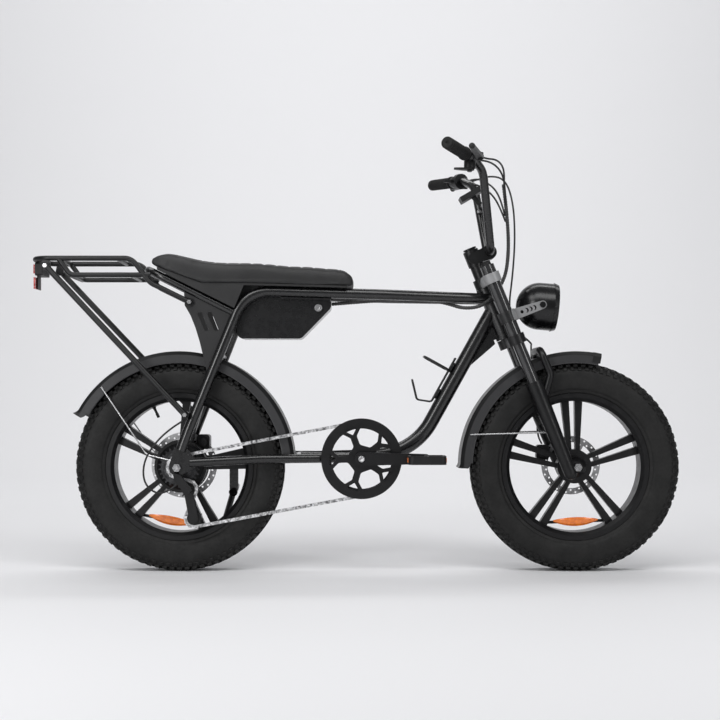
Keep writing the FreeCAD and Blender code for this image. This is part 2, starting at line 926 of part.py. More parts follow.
def caliper_arm():
    seat = on_circle(rear_axle, rear_rotor_radius, rear_caliper_deg)
    return strap(rear_axle, dropout_size / 3, seat, hanger_radius, rear_drop_inner,
                 rear_drop_inner + rear_drop_thickness)


def head_tube_solid():
    low = steer_point(0, 0, head_tube_foot)
    return rod(low, steer_point(0, 0, head_tube_top), head_tube_radius)


def head_tube():
    tube = head_tube_solid()
    cups = []
    for foot in (head_tube_foot - headset_height, head_tube_top):
        cups.append(rod(steer_point(0, 0, foot), steer_point(0, 0, foot + headset_height), headset_radius))
    low = steer_point(0, 0, head_tube_foot - 2 * headset_height)
    bore = rod(low, steer_point(0, 0, head_tube_top + 2 * headset_height), steerer_radius + run_gap)
    return tube.multiFuse(cups).cut(bore)


def frame_rail_right():
    body, slot = dropout(-1)
    rail = rail_tube(-1).multiFuse([body, strut_lug(-1), hanger()]).cut(slot)
    return rail.cut(head_tube_solid())


def bridge_centre():
    return on_circle(rear_axle, bridge_orbit, math.degrees(math.atan2(stay_mid_rise, stay_mid_ahead)))


def frame_rail_left():
    body, slot = dropout(1)
    bridge = disc(bridge_centre(), bridge_radius, -stay_mid_side, stay_mid_side)
    rail = rail_tube(1).multiFuse([body, strut_lug(1), caliper_arm(), bridge]).cut(slot)
    return rail.cut(head_tube_solid()).cut(rail_tube(-1))


def both_rails():
    return Part.makeCompound([rail_tube(-1), rail_tube(1)])


def down_tube():
    top = vec(down_tube_top_x, 0, down_tube_top_z)
    bend = bb_centre + vec(down_bend_ahead, 0, down_bend_rise)
    tube = pipe([top, bend, bb_centre], [down_bend], down_tube_radius)
    web_points = [top, steer_point(0, 0, head_tube_foot), (top + bend) / 2]
    web_face = [point - side_axis * (web_thickness / 2) for point in web_points]
    web = plate(polygon(web_face), side_axis * web_thickness)
    shell = disc(bb_centre, bb_radius, -bb_half, bb_half)
    swing_foot = steer_point(0, 0, lower_crown_foot - overrun)
    swing = rod(swing_foot, steer_point(0, 0, head_tube_foot), headset_radius + overrun)
    return tube.fuse(web).cut(head_tube_solid()).cut(swing).cut(both_rails()).cut(shell)


def stay_tube(facing, radius):
    points = [bb_centre + vec(-chainstay_root_behind, facing * chainstay_root_side, 0),
              bb_centre + vec(-chainstay_knee_behind, facing * chainstay_knee_side, 0),
              bb_centre + vec(-chainstay_mid_behind, facing * chainstay_mid_side, 0),
              rear_point(chainstay_end_ahead, chainstay_end_rise, facing * stay_low_side)]
    return pipe(points, [chainstay_bend, chainstay_bend], radius)


def chainstays():
    shell = disc(bb_centre, bb_radius, -bb_half, bb_half)
    cups = [disc(bb_centre, bb_cup_radius, -bb_half - bb_cup, -bb_half),
            disc(bb_centre, bb_cup_radius, bb_half, bb_half + bb_cup)]
    stays = [stay_tube(-1, chainstay_radius), stay_tube(1, chainstay_radius)]
    bridge = disc(on_circle(rear_axle, bridge_orbit, chainstay_bridge_deg), bridge_radius,
                  -chainstay_knee_side, chainstay_knee_side)
    pivot = stand_pivot()
    hung = vec(pivot.x, 0, bb_z)
    low = stand_pivot_side - stand_knuckle_half - stand_plate_thickness - overrun
    ear = strap(hung, stand_knuckle_radius, vec(pivot.x, 0, pivot.z), stand_knuckle_radius,
                low, low + stand_plate_thickness)
    axis = stand_axis()
    boss = rod(pivot - axis * (3 * stand_knuckle_half), pivot - axis * (stand_knuckle_half + fit_gap),
               stand_knuckle_radius)
    pin = rod(pivot - axis * stand_knuckle_half, pivot + axis * (stand_knuckle_half + fit_gap),
              stand_pin_radius)
    head_foot = pivot + axis * (stand_knuckle_half + fit_gap)
    head = Part.makeCylinder(stand_knuckle_radius - fit_gap, bolt_head, head_foot, axis)
    group = shell.multiFuse(cups + stays + [bridge, ear, boss, pin, head])
    group = group.cut(disc(bb_centre, spindle_radius + run_gap, -bb_half - bb_cup - overrun,
                           bb_half + bb_cup + overrun))
    for facing in (-1, 1):
        body, slot = dropout(facing)
        group = group.cut(body.fuse(rail_tube(facing)))
    return group.cut(caliper_arm())


def loop_tube():
    slope = math.tan(math.radians(loop_slope_deg))
    end_rise = loop_front_rise + slope * (loop_front_ahead + loop_end_behind)
    points = [rear_point(loop_front_ahead, loop_front_rise, -loop_side),
              rear_point(-loop_end_behind, end_rise, -loop_side),
              rear_point(-loop_end_behind, end_rise, loop_side),
              rear_point(loop_front_ahead, loop_front_rise, loop_side)]
    return pipe(points, [loop_bend, loop_bend], loop_radius)


def seat_loop():
    return loop_tube().cut(both_rails())


def gusset_plate(facing):
    outline_shares = [(0.032, 0.94), (0.036, 0.86), (0.068, 0.804), (0.094, 0.738), (0.115, 0.668),
                      (0.132, 0.598), (0.146, 0.538), (0.16, 0.48), (0.18, 0.492), (0.296, 0.792),
                      (0.3, 0.82)]
    slot_shares = [(0.1, 0.824), (0.126, 0.824), (0.166, 0.724), (0.14, 0.724)]
    slot_step_share = 0.052
    low = min(facing * gusset_inner, facing * (gusset_inner + gusset_thickness))
    points = [rear_point(ahead * gusset_reach, rise * gusset_reach, low) for ahead, rise in outline_shares]
    sheet = plate(polygon(points), side_axis * gusset_thickness)
    for step in (0, slot_step_share):
        corners = [rear_point((ahead + step) * gusset_reach, rise * gusset_reach, low - overrun)
                   for ahead, rise in slot_shares]
        sheet = sheet.cut(plate(rounded_loop(corners, gusset_slot_round),
                                side_axis * (gusset_thickness + 2 * overrun)))
    return sheet.cut(loop_tube()).cut(rail_tube(facing))


def gusset_plates():
    return Part.makeCompound([gusset_plate(-1), gusset_plate(1)])


# Battery and seat
def battery_case():
    front = battery_front_x
    rear = front - battery_length
    roof = battery_roof_z
    floor = roof - battery_height
    low = -battery_half
    points = [vec(front, low, roof), vec(front, low, roof - lock_down),
              vec(front - battery_chamfer, low, floor),
              vec(rear, low, floor), vec(rear, low, roof)]
    box = plate(rounded_loop(points, battery_round), side_axis * (2 * battery_half))
    flange_rear = rail_bend_x + rail_bend
    flange = []
    for x in (front, flange_rear):
        flange.append(vec(x, -battery_flange_half, rail_z(x) - rail_radius - fit_gap))
    flange += [vec(point.x, point.y, min(point.z, roof) - battery_flange) for point in reversed(flange)]
    lock = disc(vec(front - lock_in, 0, roof - lock_down), lock_radius, -battery_half - lock_length,
                -battery_half + lock_length)
    case = box.multiFuse([plate(polygon(flange), side_axis * (2 * battery_flange_half)), lock])
    return case.cut(both_rails())


seat_nose_x = rear_axle_x + seat_nose_ahead
seat_length = seat_nose_ahead + seat_tail_behind

# Seat stations from nose to tail: share along, share of half width, then underside and crown
# as shares of the height
seat_station_shares = [(0.0, 0.78, 0.0, 0.3), (0.045, 0.91, 0.0, 0.5), (0.09, 0.94, 0.0, 0.53),
                       (0.16, 0.96, 0.0, 0.55), (0.30, 0.98, 0.0, 0.58), (0.55, 1.0, 0.0, 0.65),
                       (0.75, 1.0, 0.0, 0.73), (0.93, 0.96, 0.41, 0.94), (1.0, 0.84, 0.61, 0.78)]


# Underside of the pad, crown of the pad and half width at a share of the seat's length
def seat_station(share):
    stations = seat_station_shares
    for near, far in zip(stations, stations[1:]):
        if near[0] <= share <= far[0]:
            blend = (share - near[0]) / (far[0] - near[0])
            width, under, crown = [a + (b - a) * blend for a, b in zip(near[1:], far[1:])]
    x = seat_nose_x - share * seat_length
    rest = rail_z(max(x, rail_bend_x)) + rail_radius + seat_base_thickness + 2 * fit_gap
    return x, rest + under * seat_height, rest + crown * seat_height, width * seat_half


def seat_section(share):
    x, rest, crown, half = seat_station(share)
    under = rest - seat_sink
    tuck_share = 0.94
    shoulder_share = 0.92
    side_share = 0.45
    rise = crown - under

    def at(side, z):
        return vec(x, side, z)

    tuck = half * tuck_share
    shoulder = half * shoulder_share
    eave = under + rise * shoulder_share
    middle = under + rise * side_share
    edges = [Part.LineSegment(at(-tuck, under), at(tuck, under)).toShape(),
             Part.Arc(at(tuck, under), at(half, middle), at(shoulder, eave)).toShape(),
             Part.Arc(at(shoulder, eave), at(0, crown), at(-shoulder, eave)).toShape(),
             Part.Arc(at(-shoulder, eave), at(-half, middle), at(-tuck, under)).toShape()]
    return Part.Wire(edges)


def seat_pad():
    pad = upright(Part.makeLoft([seat_section(station[0]) for station in seat_station_shares], True, False))
    first_share = 0.07
    channels = []
    for rib in range(seat_rib_count):
        share = first_share + rib * seat_rib_pitch / seat_length
        x, under, crown, half = seat_station(share)
        centre = vec(x, 0, crown + seat_rib_radius - seat_rib_depth)
        channels.append(disc(centre, seat_rib_radius, -seat_rib_half, seat_rib_half))
    return pad.cut(Part.makeCompound(channels)).cut(under_seat())


# A slab that lies against the underside of the pad
def under_seat():
    tops = []
    for station in seat_station_shares:
        x, under, crown, half = seat_station(station[0])
        tops.append(vec(x, -seat_half, under))
    tops = [tops[0] + vec(overrun, 0, 0)] + tops + [tops[-1] - vec(overrun, 0, 0)]
    lows = [point - vec(0, 0, seat_height) for point in reversed(tops)]
    return plate(polygon(tops + lows), side_axis * (2 * seat_half))


# The pan follows the underside of the pad and carries a skirt down to the seat loop on each side
def seat_base():
    edge_share = 0.03
    low_side = -seat_base_half
    tops = []
    inner_shares = [station[0] for station in seat_station_shares[1:-1]]
    for share in [edge_share] + inner_shares + [1 - edge_share]:
        x, under, crown, half = seat_station(share)
        tops.append(vec(x, low_side, under - fit_gap))
    unders = [point - vec(0, 0, seat_base_thickness) for point in reversed(tops)]
    pan = plate(polygon(tops + unders), side_axis * (2 * seat_base_half))
    slope = math.tan(math.radians(loop_slope_deg))
    lift = (loop_radius + fit_gap) / math.cos(math.radians(loop_slope_deg))
    front_x = rear_axle_x + loop_front_ahead
    rear_x = tops[-1].x
    front = vec(front_x, low_side, axle_z + loop_front_rise + lift)
    rear = vec(rear_x, low_side, axle_z + loop_front_rise + lift + slope * (front_x - rear_x))
    brow = vec(rail_bend_x, low_side, tops[-4].z)
    skirt = plate(polygon([brow, front, rear, tops[-1], tops[-2], tops[-3], tops[-4]]),
                  side_axis * seat_skirt)
    return pan.multiFuse([skirt, mirrored(skirt)]).cut(both_rails())


# Rear rack, lamps and fenders
rack_tail_x = rack_end_x + rack_radius


def rack_path(facing):
    return [rear_point(rack_bolt_ahead, rack_bolt_rise, facing * rack_side),
            rear_point(-rack_knee_behind, rack_knee_rise, facing * rack_side),
            vec(rear_axle_x - rack_crest_behind, facing * rack_side, rack_top_z),
            vec(rack_tail_x, facing * rack_side, rack_top_z)]


def rear_rack():
    right = rack_path(-1)
    left = list(reversed(rack_path(1)))
    loop = pipe(right + left, [rack_bend, rack_bend, rack_rear_bend, rack_rear_bend, rack_bend, rack_bend],
                rack_radius)
    welds = []
    knee = rear_point(-rack_knee_behind, rack_knee_rise, 0)
    for facing in (-1, 1):
        points = [vec(rear_axle_x - rack_low_drop_behind, facing * rack_side, rack_top_z),
                  vec(rear_axle_x - rack_low_rear_behind, facing * rack_side, rack_low_z),
                  vec(knee.x, facing * rack_side, rack_low_z)]
        welds.append(pipe(points, [rack_low_bend], rack_radius - fit_gap))
        eye = rear_point(rack_bolt_ahead, rack_bolt_rise, 0)
        low = gusset_inner + gusset_thickness + fit_gap
        sides = sorted((facing * low, facing * (low + rack_tab_thickness)))
        welds.append(disc(eye, rack_tab_radius, sides[0], sides[1]))
        hook = rear_point(-strut_top_behind, strut_top_rise, 0)
        sides = sorted((facing * (rack_side - rack_tab_thickness),
                        facing * (rack_side + rack_tab_thickness)))
        crest = vec(hook.x, 0, rack_top_z)
        welds.append(strap(hook, rack_tab_radius, crest, rack_radius - 2 * fit_gap, sides[0], sides[1]))
    for x, z in ((rear_axle_x - rack_low_rear_behind, rack_low_z),
                 (rear_axle_x - rack_crest_behind, rack_low_z),
                 (rear_axle_x - rack_low_drop_behind, rack_top_z),
                 (rear_axle_x - rack_crest_behind - rack_bend, rack_top_z)):
        welds.append(disc(vec(x, 0, z), rack_radius - 1.5 * fit_gap, -rack_side, rack_side))
    struts = []
    for facing in (-1, 1):
        hook_side = facing * strut_top_side
        lug_side = facing * strut_foot_side
        top = rear_point(-strut_top_behind, strut_top_rise, hook_side)
        foot = rear_point(strut_foot_ahead, strut_foot_rise, lug_side)
        sides = sorted((facing * (rack_side + rack_tab_thickness + fit_gap), hook_side))
        upper = disc(rear_point(-strut_top_behind, strut_top_rise, 0), strut_tab_radius, sides[0], sides[1])
        sides = sorted((facing * (lug_outer + fit_gap), lug_side))
        lower = disc(rear_point(strut_foot_ahead, strut_foot_rise, 0), strut_tab_radius, sides[0], sides[1])
        struts.append(rod(top, foot, strut_radius).multiFuse([upper, lower]))
    return Part.makeCompound([loop.multiFuse(welds)] + struts)


def tail_light():
    roof = rack_top_z - rack_radius - fit_gap
    front = rack_end_x + tail_depth
    rear = rack_end_x + tail_lens + fit_gap
    body = block(vec(rear, -tail_half, roof - tail_height), vec(front, tail_half, roof))
    body = body.makeFillet(tail_lens, [edge for edge in body.Edges if edge.BoundBox.XLength > tail_lens])
    plate_low = vec(rear, -reflector_half / 2, roof - tail_height - reflector_height)
    bracket = block(plate_low, vec(rear + bracket_thickness, reflector_half / 2, roof - tail_height / 2))
    return body.fuse(bracket)


def tail_lenses():
    roof = rack_top_z - rack_radius - fit_gap
    inset = tail_lens
    lens = block(vec(rack_end_x, inset - tail_half, roof - tail_height + inset),
                 vec(rack_end_x + tail_lens, tail_half - inset, roof - inset))
    low = roof - tail_height - reflector_height
    mirror = block(vec(rack_end_x, -reflector_half, low),
                   vec(rack_end_x + tail_lens, reflector_half, low + reflector_height - inset))
    return Part.makeCompound([lens, mirror])


def fender(centre, from_deg, to_deg):
    half = fender_half
    skirt = fender_outer - fender_skirt
    outer = [(skirt, half), (fender_outer - fender_round, half), (fender_outer, half - fender_round)]
    skin = fender_skin
    inner = [(skirt, half - skin), (fender_outer - fender_round, half - skin),
             (fender_outer - skin, half - fender_round)]
    outline = outer + [(radius, -side) for radius, side in reversed(outer)]
    outline += [(radius, -side) for radius, side in inner] + list(reversed(inner))
    face = Part.Face(polygon([centre + vec(radius, side, 0) for radius, side in outline]))
    face.rotate(centre, side_axis, -from_deg)
    return upright(face.revolve(centre, side_axis * -1, to_deg - from_deg))


def front_fender():
    return fender(front_axle, front_fender_from_deg, front_fender_to_deg)


def rear_fender():
    stays = [stay_tube(facing, chainstay_radius + fit_gap) for facing in (-1, 1)]
    return fender(rear_axle, rear_fender_from_deg, rear_fender_to_deg).cut(Part.makeCompound(stays))


wire_track = fender_half + wire_radius + fit_gap


def front_fender_stay():
    wire_deg = 163.0
    skirt_middle = fender_outer - fender_skirt / 2
    start = on_circle(front_axle, skirt_middle, wire_deg)
    leg = steer_point(crown_offset, 0, (start.z - steer_foot.z) / steer_up.z)
    wires = []
    for facing in (-1, 1):
        wire = rod(start + side_axis * (facing * wire_track), leg + side_axis * (facing * wire_track),
                   wire_radius)
        foot = steer_point(crown_offset, facing * fork_side, leg_foot)
        top = steer_point(crown_offset, facing * fork_side, leg_top)
        wires.append(wire.cut(cone(foot, top, leg_foot_radius + fit_gap, leg_top_radius + fit_gap)))
    return Part.makeCompound(wires)


def rear_fender_stays():
    wire_deg = 134.0
    knee_shares = (-0.27, 0.11)
    foot_shares = (-0.05, 0.06)
    start = on_circle(rear_axle, fender_outer - fender_skirt / 2, wire_deg)
    drop_track = rear_drop_inner - wire_radius - fit_gap
    wires = []
    for facing in (-1, 1):
        points = [start + side_axis * (facing * wire_track),
                  rear_point(knee_shares[0] * fender_outer, knee_shares[1] * fender_outer,
                             facing * (wire_track + drop_track) / 2),
                  rear_point(foot_shares[0] * fender_outer, foot_shares[1] * fender_outer,
                             facing * drop_track)]
        wires.append(pipe(points, [fender_skirt], wire_radius))
    return Part.makeCompound(wires)


# A wire bottle cage: two rails on the down tube, a foot, and a hoop round the bottle
def bottle_cage():
    top = vec(down_tube_top_x, 0, down_tube_top_z)
    bend = bb_centre + vec(down_bend_ahead, 0, down_bend_rise)
    up = (top - bend).normalize()
    off = up.cross(side_axis)
    middle_share = 0.46
    end_share = 0.5
    toe_share = 0.6
    lip_share = 0.3
    hoop_share = 0.22
    boss_share = 0.3
    seat = bend + (top - bend) * middle_share
    back = down_tube_radius + cage_boss + fit_gap + cage_wire_radius
    centre = back + bottle_radius

    def at(out, side, along):
        return seat + off * out + side_axis * side + up * (along * cage_height)

    narrow = bottle_radius / 3
    front = centre + bottle_radius
    rails = [at(back, -narrow, end_share), at(back, -narrow, -end_share), at(centre, -narrow, -toe_share),
             at(front, -narrow, -lip_share), at(front, narrow, -lip_share), at(centre, narrow, -toe_share),
             at(back, narrow, -end_share), at(back, narrow, end_share)]
    bend_r = bottle_radius / 4
    wire = pipe(rails, [bend_r] * 6, cage_wire_radius)
    wide = bottle_radius + cage_wire_radius
    hoop = [at(back, -narrow, hoop_share), at(back + bend_r, -wide, hoop_share),
            at(centre + wide, -wide, hoop_share), at(centre + wide, wide, hoop_share),
            at(back + bend_r, wide, hoop_share), at(back, narrow, hoop_share)]
    ring = pipe(hoop, [bend_r / 2, bottle_radius / 2, bottle_radius / 2, bend_r / 2], cage_wire_radius)
    bosses = []
    for along in (-boss_share, boss_share):
        plate_low = at(down_tube_radius + fit_gap, 0, along)
        bosses.append(rod(plate_low, at(back, 0, along), narrow + cage_wire_radius))
    return wire.multiFuse([ring] + bosses)


# Drive
ring_pitch_radius = pitch / (2 * math.sin(math.pi / ring_teeth))
free_pitch_radius = pitch / (2 * math.sin(math.pi / free_teeth))
pulley_pitch_radius = pitch / (2 * math.sin(math.pi / pulley_teeth))
chain_offset = side_axis * -chain_side
guide_centre = rear_point(guide_ahead, -guide_drop, 0)


def tension_centre(cage_deg):
    return on_circle(guide_centre, cage_length, cage_deg)


# The wheels that the chain passes, each with its teeth, radius and turning sense
def chain_wheels(cage_deg):
    return [(rear_axle, free_pitch_radius, 1, free_teeth),
            (guide_centre, pulley_pitch_radius, -1, pulley_teeth),
            (tension_centre(cage_deg), pulley_pitch_radius, 1, pulley_teeth),
            (bb_centre, ring_pitch_radius, 1, ring_teeth)]


# Heading of the straight run from one wheel to the next
def run_heading(first, second):
    apart = second[0] - first[0]
    difference = first[1] * first[2] - second[1] * second[2]
    return math.atan2(apart.z, apart.x) + math.asin(difference / apart.Length)


# Each stretch of the chain in pitches: the arc on a wheel, then the run to the next one
def chain_stretches(cage_deg):
    wheels = chain_wheels(cage_deg)
    headings = [run_heading(wheels[index], wheels[(index + 1) % 4]) for index in range(4)]
    stretches = []
    for index, wheel in enumerate(wheels):
        centre, radius, sense, teeth = wheel
        arrive = headings[index - 1]
        turn = ((headings[index] - arrive) * sense) % (2 * math.pi)
        other = wheels[(index + 1) % 4]
        apart = other[0] - centre
        difference = radius * sense - other[1] * other[2]
        run = math.sqrt(apart.Length ** 2 - difference ** 2)
        stretches.append((wheel, arrive, turn * teeth / (2 * math.pi), headings[index], run / pitch))
    return stretches


def chain_count(cage_deg):
    return sum(stretch[2] + stretch[4] for stretch in chain_stretches(cage_deg))


# The cage swings until the chain is a whole even number of links
def settled_cage():
    cage_nominal_deg = -74.0
    cage_swing_deg = 24.0
    low = cage_nominal_deg - cage_swing_deg
    high = cage_nominal_deg + cage_swing_deg
    links = 2 * round(chain_count(cage_nominal_deg) / 2)
    for step in range(60):
        middle = (low + high) / 2
        if (chain_count(middle) - links) * (chain_count(low) - links) <= 0:
            high = middle
        else:
            low = middle
    return middle, links


cage_deg, link_count = settled_cage()


def wheel_place(wheel, heading):
    centre, radius, sense, teeth = wheel
    normal = vec(math.sin(heading), 0, -math.cos(heading))
    return centre + normal * (radius * sense)


# Middle of every roller, counted in pitches along the chain
def rollers():
    stretches = chain_stretches(cage_deg)
    places = []
    for number in range(link_count):
        left = float(number)
        for wheel, arrive, arc, heading, run in stretches:
            if left <= arc:
                turned_by = left * 2 * math.pi / wheel[3] * wheel[2]
                places.append(wheel_place(wheel, arrive + turned_by))
                break
            left -= arc
            if left <= run:
                along = vec(math.cos(heading), 0, math.sin(heading))
                places.append(wheel_place(wheel, heading) + along * (left * pitch))
                break
            left -= run
    return places


def chain():
    places = [place + chain_offset for place in rollers()]
    solids = []
    for number, place in enumerate(places):
        following = places[(number + 1) % link_count]
        along = (following - place).normalize()
        rise = along.cross(side_axis)
        inner = number % 2 == 0
        gap = link_inner_half if inner else link_inner_half + link_plate + run_gap
        tip = along * plate_half
        brow = along * link_waist + rise * plate_half
        chin = along * link_waist - rise * plate_half
        outline = [place - tip, place - chin, following + brow, following + tip, following + chin,
                   place - brow]
        plates = []
        for low in (gap, -gap - link_plate):
            plates.append(plate(polygon([point + side_axis * low for point in outline]),
                                side_axis * link_plate))
        if inner:
            for middle in (place, following):
                foot = middle - side_axis * link_inner_half
                plates.append(hexagon(foot, side_axis, roller_radius, 2 * link_inner_half))
            solids.append(plates[0].multiFuse(plates[1:]))
        else:
            solids += plates
    return Part.makeCompound(solids)


# A toothed plate whose gaps take the chain's rollers
def sprocket(centre, teeth, gap_deg, low_side, thickness):
    radius = pitch / (2 * math.sin(math.pi / teeth))
    root = radius - roller_radius - run_gap
    tip = radius + tooth_height
    root_share = 0.27
    tip_share = 0.5 - tooth_tip_half / pitch
    points = []
    for tooth in range(teeth):
        for share, reach in ((-root_share, root), (root_share, root), (tip_share, tip),
                             (1 - tip_share, tip)):
            angle = gap_deg + (tooth + share) * 360 / teeth
            points.append(on_circle(centre, reach, angle) + side_axis * low_side)
    return plate(polygon(points), side_axis * thickness)


# Angle of the first roller on a wheel
def gap_angle(index):
    stretches = chain_stretches(cage_deg)
    passed = sum(stretch[2] + stretch[4] for stretch in stretches[:index])
    wheel, arrive, arc, heading, run = stretches[index]
    first = math.ceil(passed) - passed
    place = wheel_place(wheel, arrive + first * 2 * math.pi / wheel[3] * wheel[2])
    return math.degrees(math.atan2(place.z - wheel[0].z, place.x - wheel[0].x))


def freewheel():
    half = sprocket_thickness / 2
    stack = [sprocket(rear_axle, free_teeth, gap_angle(0), -chain_side - half, sprocket_thickness)]
    for step in range(1, sprocket_count):
        side = -chain_side + step * sprocket_step
        teeth = free_teeth + teeth_step * step
        if step == sprocket_count - 1:
            stack.append(sprocket(rear_axle, teeth, 0, side - half, sprocket_thickness))
        else:
            stack.append(disc(rear_axle, pitch / (2 * math.sin(math.pi / teeth)), side - half, side + half))
    inner = -motor_right_half - fit_gap
    body = disc(rear_axle, free_body_radius, -chain_side - half, inner)
    bore = disc(rear_axle, motor_nose_radius + run_gap, -chain_side - overrun, inner + overrun)
    return body.multiFuse(stack).cut(bore)


def chainring():
    half = sprocket_thickness / 2
    toothed = sprocket(bb_centre, ring_teeth, gap_angle(3), -chain_side - half, sprocket_thickness)
    toothed = toothed.cut(disc(bb_centre, ring_inner_radius, -chain_side - overrun, -chain_side + overrun))
    low = -guard_side - guard_thickness
    guard = disc(bb_centre, guard_radius, low, -guard_side)
    cuts = []
    window_low_share = 0.34
    window_knee_share = 0.57
    window_rim_share = 0.79
    window_rim_deg = 17.0
    notch_low_share = 0.62
    notch_rim_share = 0.81
    notch_rim_deg = 12.0
    depth = side_axis * (guard_thickness + 2 * overrun)
    start = side_axis * (low - overrun)
    step = 360 / spider_arms
    for arm in range(spider_arms):
        arm_deg = spider_phase_deg + arm * step
        next_deg = arm_deg + step
        middle_deg = arm_deg + step / 2

        def beside(reach_share, heading_deg, offset):
            reach = reach_share * guard_radius
            return on_circle(on_circle(bb_centre, reach, heading_deg), offset, heading_deg + 90) + start

        rim = window_rim_share * guard_radius
        window = [beside(window_low_share, arm_deg, spider_arm_half),
                  beside(window_knee_share, arm_deg, spider_arm_half),
                  on_circle(bb_centre, rim, middle_deg - window_rim_deg) + start,
                  on_circle(bb_centre, rim, middle_deg + window_rim_deg) + start,
                  beside(window_knee_share, next_deg, -spider_arm_half),
                  beside(window_low_share, next_deg, -spider_arm_half)]
        cuts.append(plate(rounded_loop(window, spider_arm_half), depth))
        reach = notch_rim_share * guard_radius
        notch = [beside(notch_low_share, arm_deg, 0),
                 on_circle(bb_centre, reach, arm_deg + notch_rim_deg) + start,
                 on_circle(bb_centre, reach, arm_deg - notch_rim_deg) + start]
        cuts.append(plate(rounded_loop(notch, spider_arm_half / 4), depth))
    guard = guard.cut(Part.makeCompound(cuts))
    spacers = []
    for arm in range(spider_arms):
        centre = on_circle(bb_centre, ring_inner_radius + spider_arm_half / 2,
                           spider_phase_deg + arm * step)
        spacers.append(disc(centre, spider_arm_half / 3, -guard_side, -chain_side - half))
    bore = disc(bb_centre, spindle_radius + fit_gap, low - overrun, overrun - guard_side)
    return guard.multiFuse([toothed] + spacers).cut(bore)


def crank_arms():
    arms = []
    reach = vec(crank_length, 0, 0)
    for facing in (-1, 1):
        tip = bb_centre - reach * facing
        sides = sorted((facing * crank_inner, facing * (crank_inner + crank_thickness)))
        arm = strap(bb_centre, crank_root_radius, tip, crank_tip_radius, sides[0], sides[1])
        arm = arm.cut(disc(bb_centre, spindle_radius + fit_gap, sides[0] - overrun, sides[1] + overrun))
        pin = sorted((facing * (crank_inner + crank_thickness / 2),
                      facing * (pedal_inner + pedal_width - pedal_wall)))
        arms.append(arm.fuse(disc(tip, pedal_axle_radius, pin[0], pin[1])))
    spindle = disc(bb_centre, spindle_radius, -crank_inner - crank_thickness, crank_inner + crank_thickness)
    return Part.makeCompound(arms + [spindle])


def pedal(facing):
    centre = bb_centre - vec(crank_length, 0, 0) * facing
    sides = sorted((facing * pedal_inner, facing * (pedal_inner + pedal_width)))
    half = vec(pedal_length / 2, 0, pedal_height / 2)
    frame = block(centre - half + side_axis * sides[0], centre + half + side_axis * sides[1])
    upright_edges = [edge for edge in frame.Edges if edge.BoundBox.ZLength > pedal_height / 2]
    frame = frame.makeFillet(2 * pedal_wall, upright_edges)
    low = centre - half + vec(pedal_wall, sides[0] + pedal_wall, -overrun)
    high = centre + half + vec(-pedal_wall, sides[1] - pedal_wall, overrun)
    frame = frame.cut(block(low, high))
    barrel = disc(centre, pedal_barrel_radius, sides[0], sides[1] - pedal_wall / 2)
    bars = []
    bar_share = 0.22
    for share in (-bar_share, bar_share):
        middle = (sides[0] + sides[1]) / 2 + share * pedal_width
        bar_low = centre + vec(pedal_wall - pedal_length / 2, middle - pedal_bar_half, -pedal_height / 3)
        bar_high = centre + vec(pedal_length / 2 - pedal_wall, middle + pedal_bar_half, pedal_height / 3)
        bars.append(block(bar_low, bar_high))
    bore_high = facing * (pedal_inner + pedal_width - pedal_wall + fit_gap)
    bore = sorted((facing * (pedal_inner - overrun), bore_high))
    return frame.multiFuse([barrel] + bars).cut(disc(centre, pedal_axle_radius + run_gap, bore[0], bore[1]))


def pulley(index, centre):
    half = sprocket_thickness / 2
    toothed = sprocket(centre, pulley_teeth, gap_angle(index), -chain_side - half, sprocket_thickness)
    hub_half = cage_gap_half - fit_gap
    hub = disc(centre, 2 * pulley_bore, -chain_side - hub_half, hub_half - chain_side)
    return toothed.fuse(hub).cut(disc(centre, pulley_bore, -chain_side - overrun - hub_half,
                                      overrun + hub_half - chain_side))


def derailleur_cage():
    tail = tension_centre(cage_deg)
    plates = []
    for low in (cage_gap_half, -cage_gap_half - cage_thickness):
        plates.append(strap(guide_centre, cage_half, tail, cage_half, low - chain_side,
                            low + cage_thickness - chain_side))
    reach = cage_gap_half + cage_thickness / 2
    pins = [disc(centre, pulley_bore - run_gap, -chain_side - reach, reach - chain_side)
            for centre in (guide_centre, tail)]
    return plates[0].multiFuse(plates[1:] + pins)


def derailleur_body():
    eye = rear_point(hanger_ahead, -hanger_drop, 0)
    outer = -rear_drop_inner - rear_drop_thickness - fit_gap
    cover = outer - hanger_radius
    knuckle = disc(eye, hanger_radius, cover, outer)
    cage_face = -chain_side - cage_gap_half - cage_thickness - fit_gap
    lower = disc(guide_centre, hanger_radius, cover, cage_face)
    link = strap(eye, hanger_radius - fit_gap, guide_centre, hanger_radius - fit_gap, cover,
                 cover + hanger_radius)
    return knuckle.multiFuse([lower, link])


def front_caliper():
    centre = on_circle(front_axle, front_rotor_radius + caliper_length / 6, front_caliper_deg)
    return caliper(centre, front_axle, front_rotor_radius, front_rotor_side, caliper_ear_inner - fit_gap)


def rear_caliper():
    centre = on_circle(rear_axle, rear_rotor_radius - caliper_length / 6, rear_caliper_deg)
    return caliper(centre, rear_axle, rear_rotor_radius, rear_rotor_side, rear_drop_inner - fit_gap)


# Kickstand: its hinge lies square to the leg both down and folded back
def stand_pivot():
    return rear_point(stand_pivot_ahead, stand_pivot_rise, stand_pivot_side)


def stand_foot():
    return vec(rear_axle_x + stand_foot_ahead, stand_foot_side, 0)


def stand_axis():
    folded_shares = (-1.0, 0.06, 0.04)
    down = stand_foot() - stand_pivot()
    return down.cross(vec(*folded_shares)).normalize()


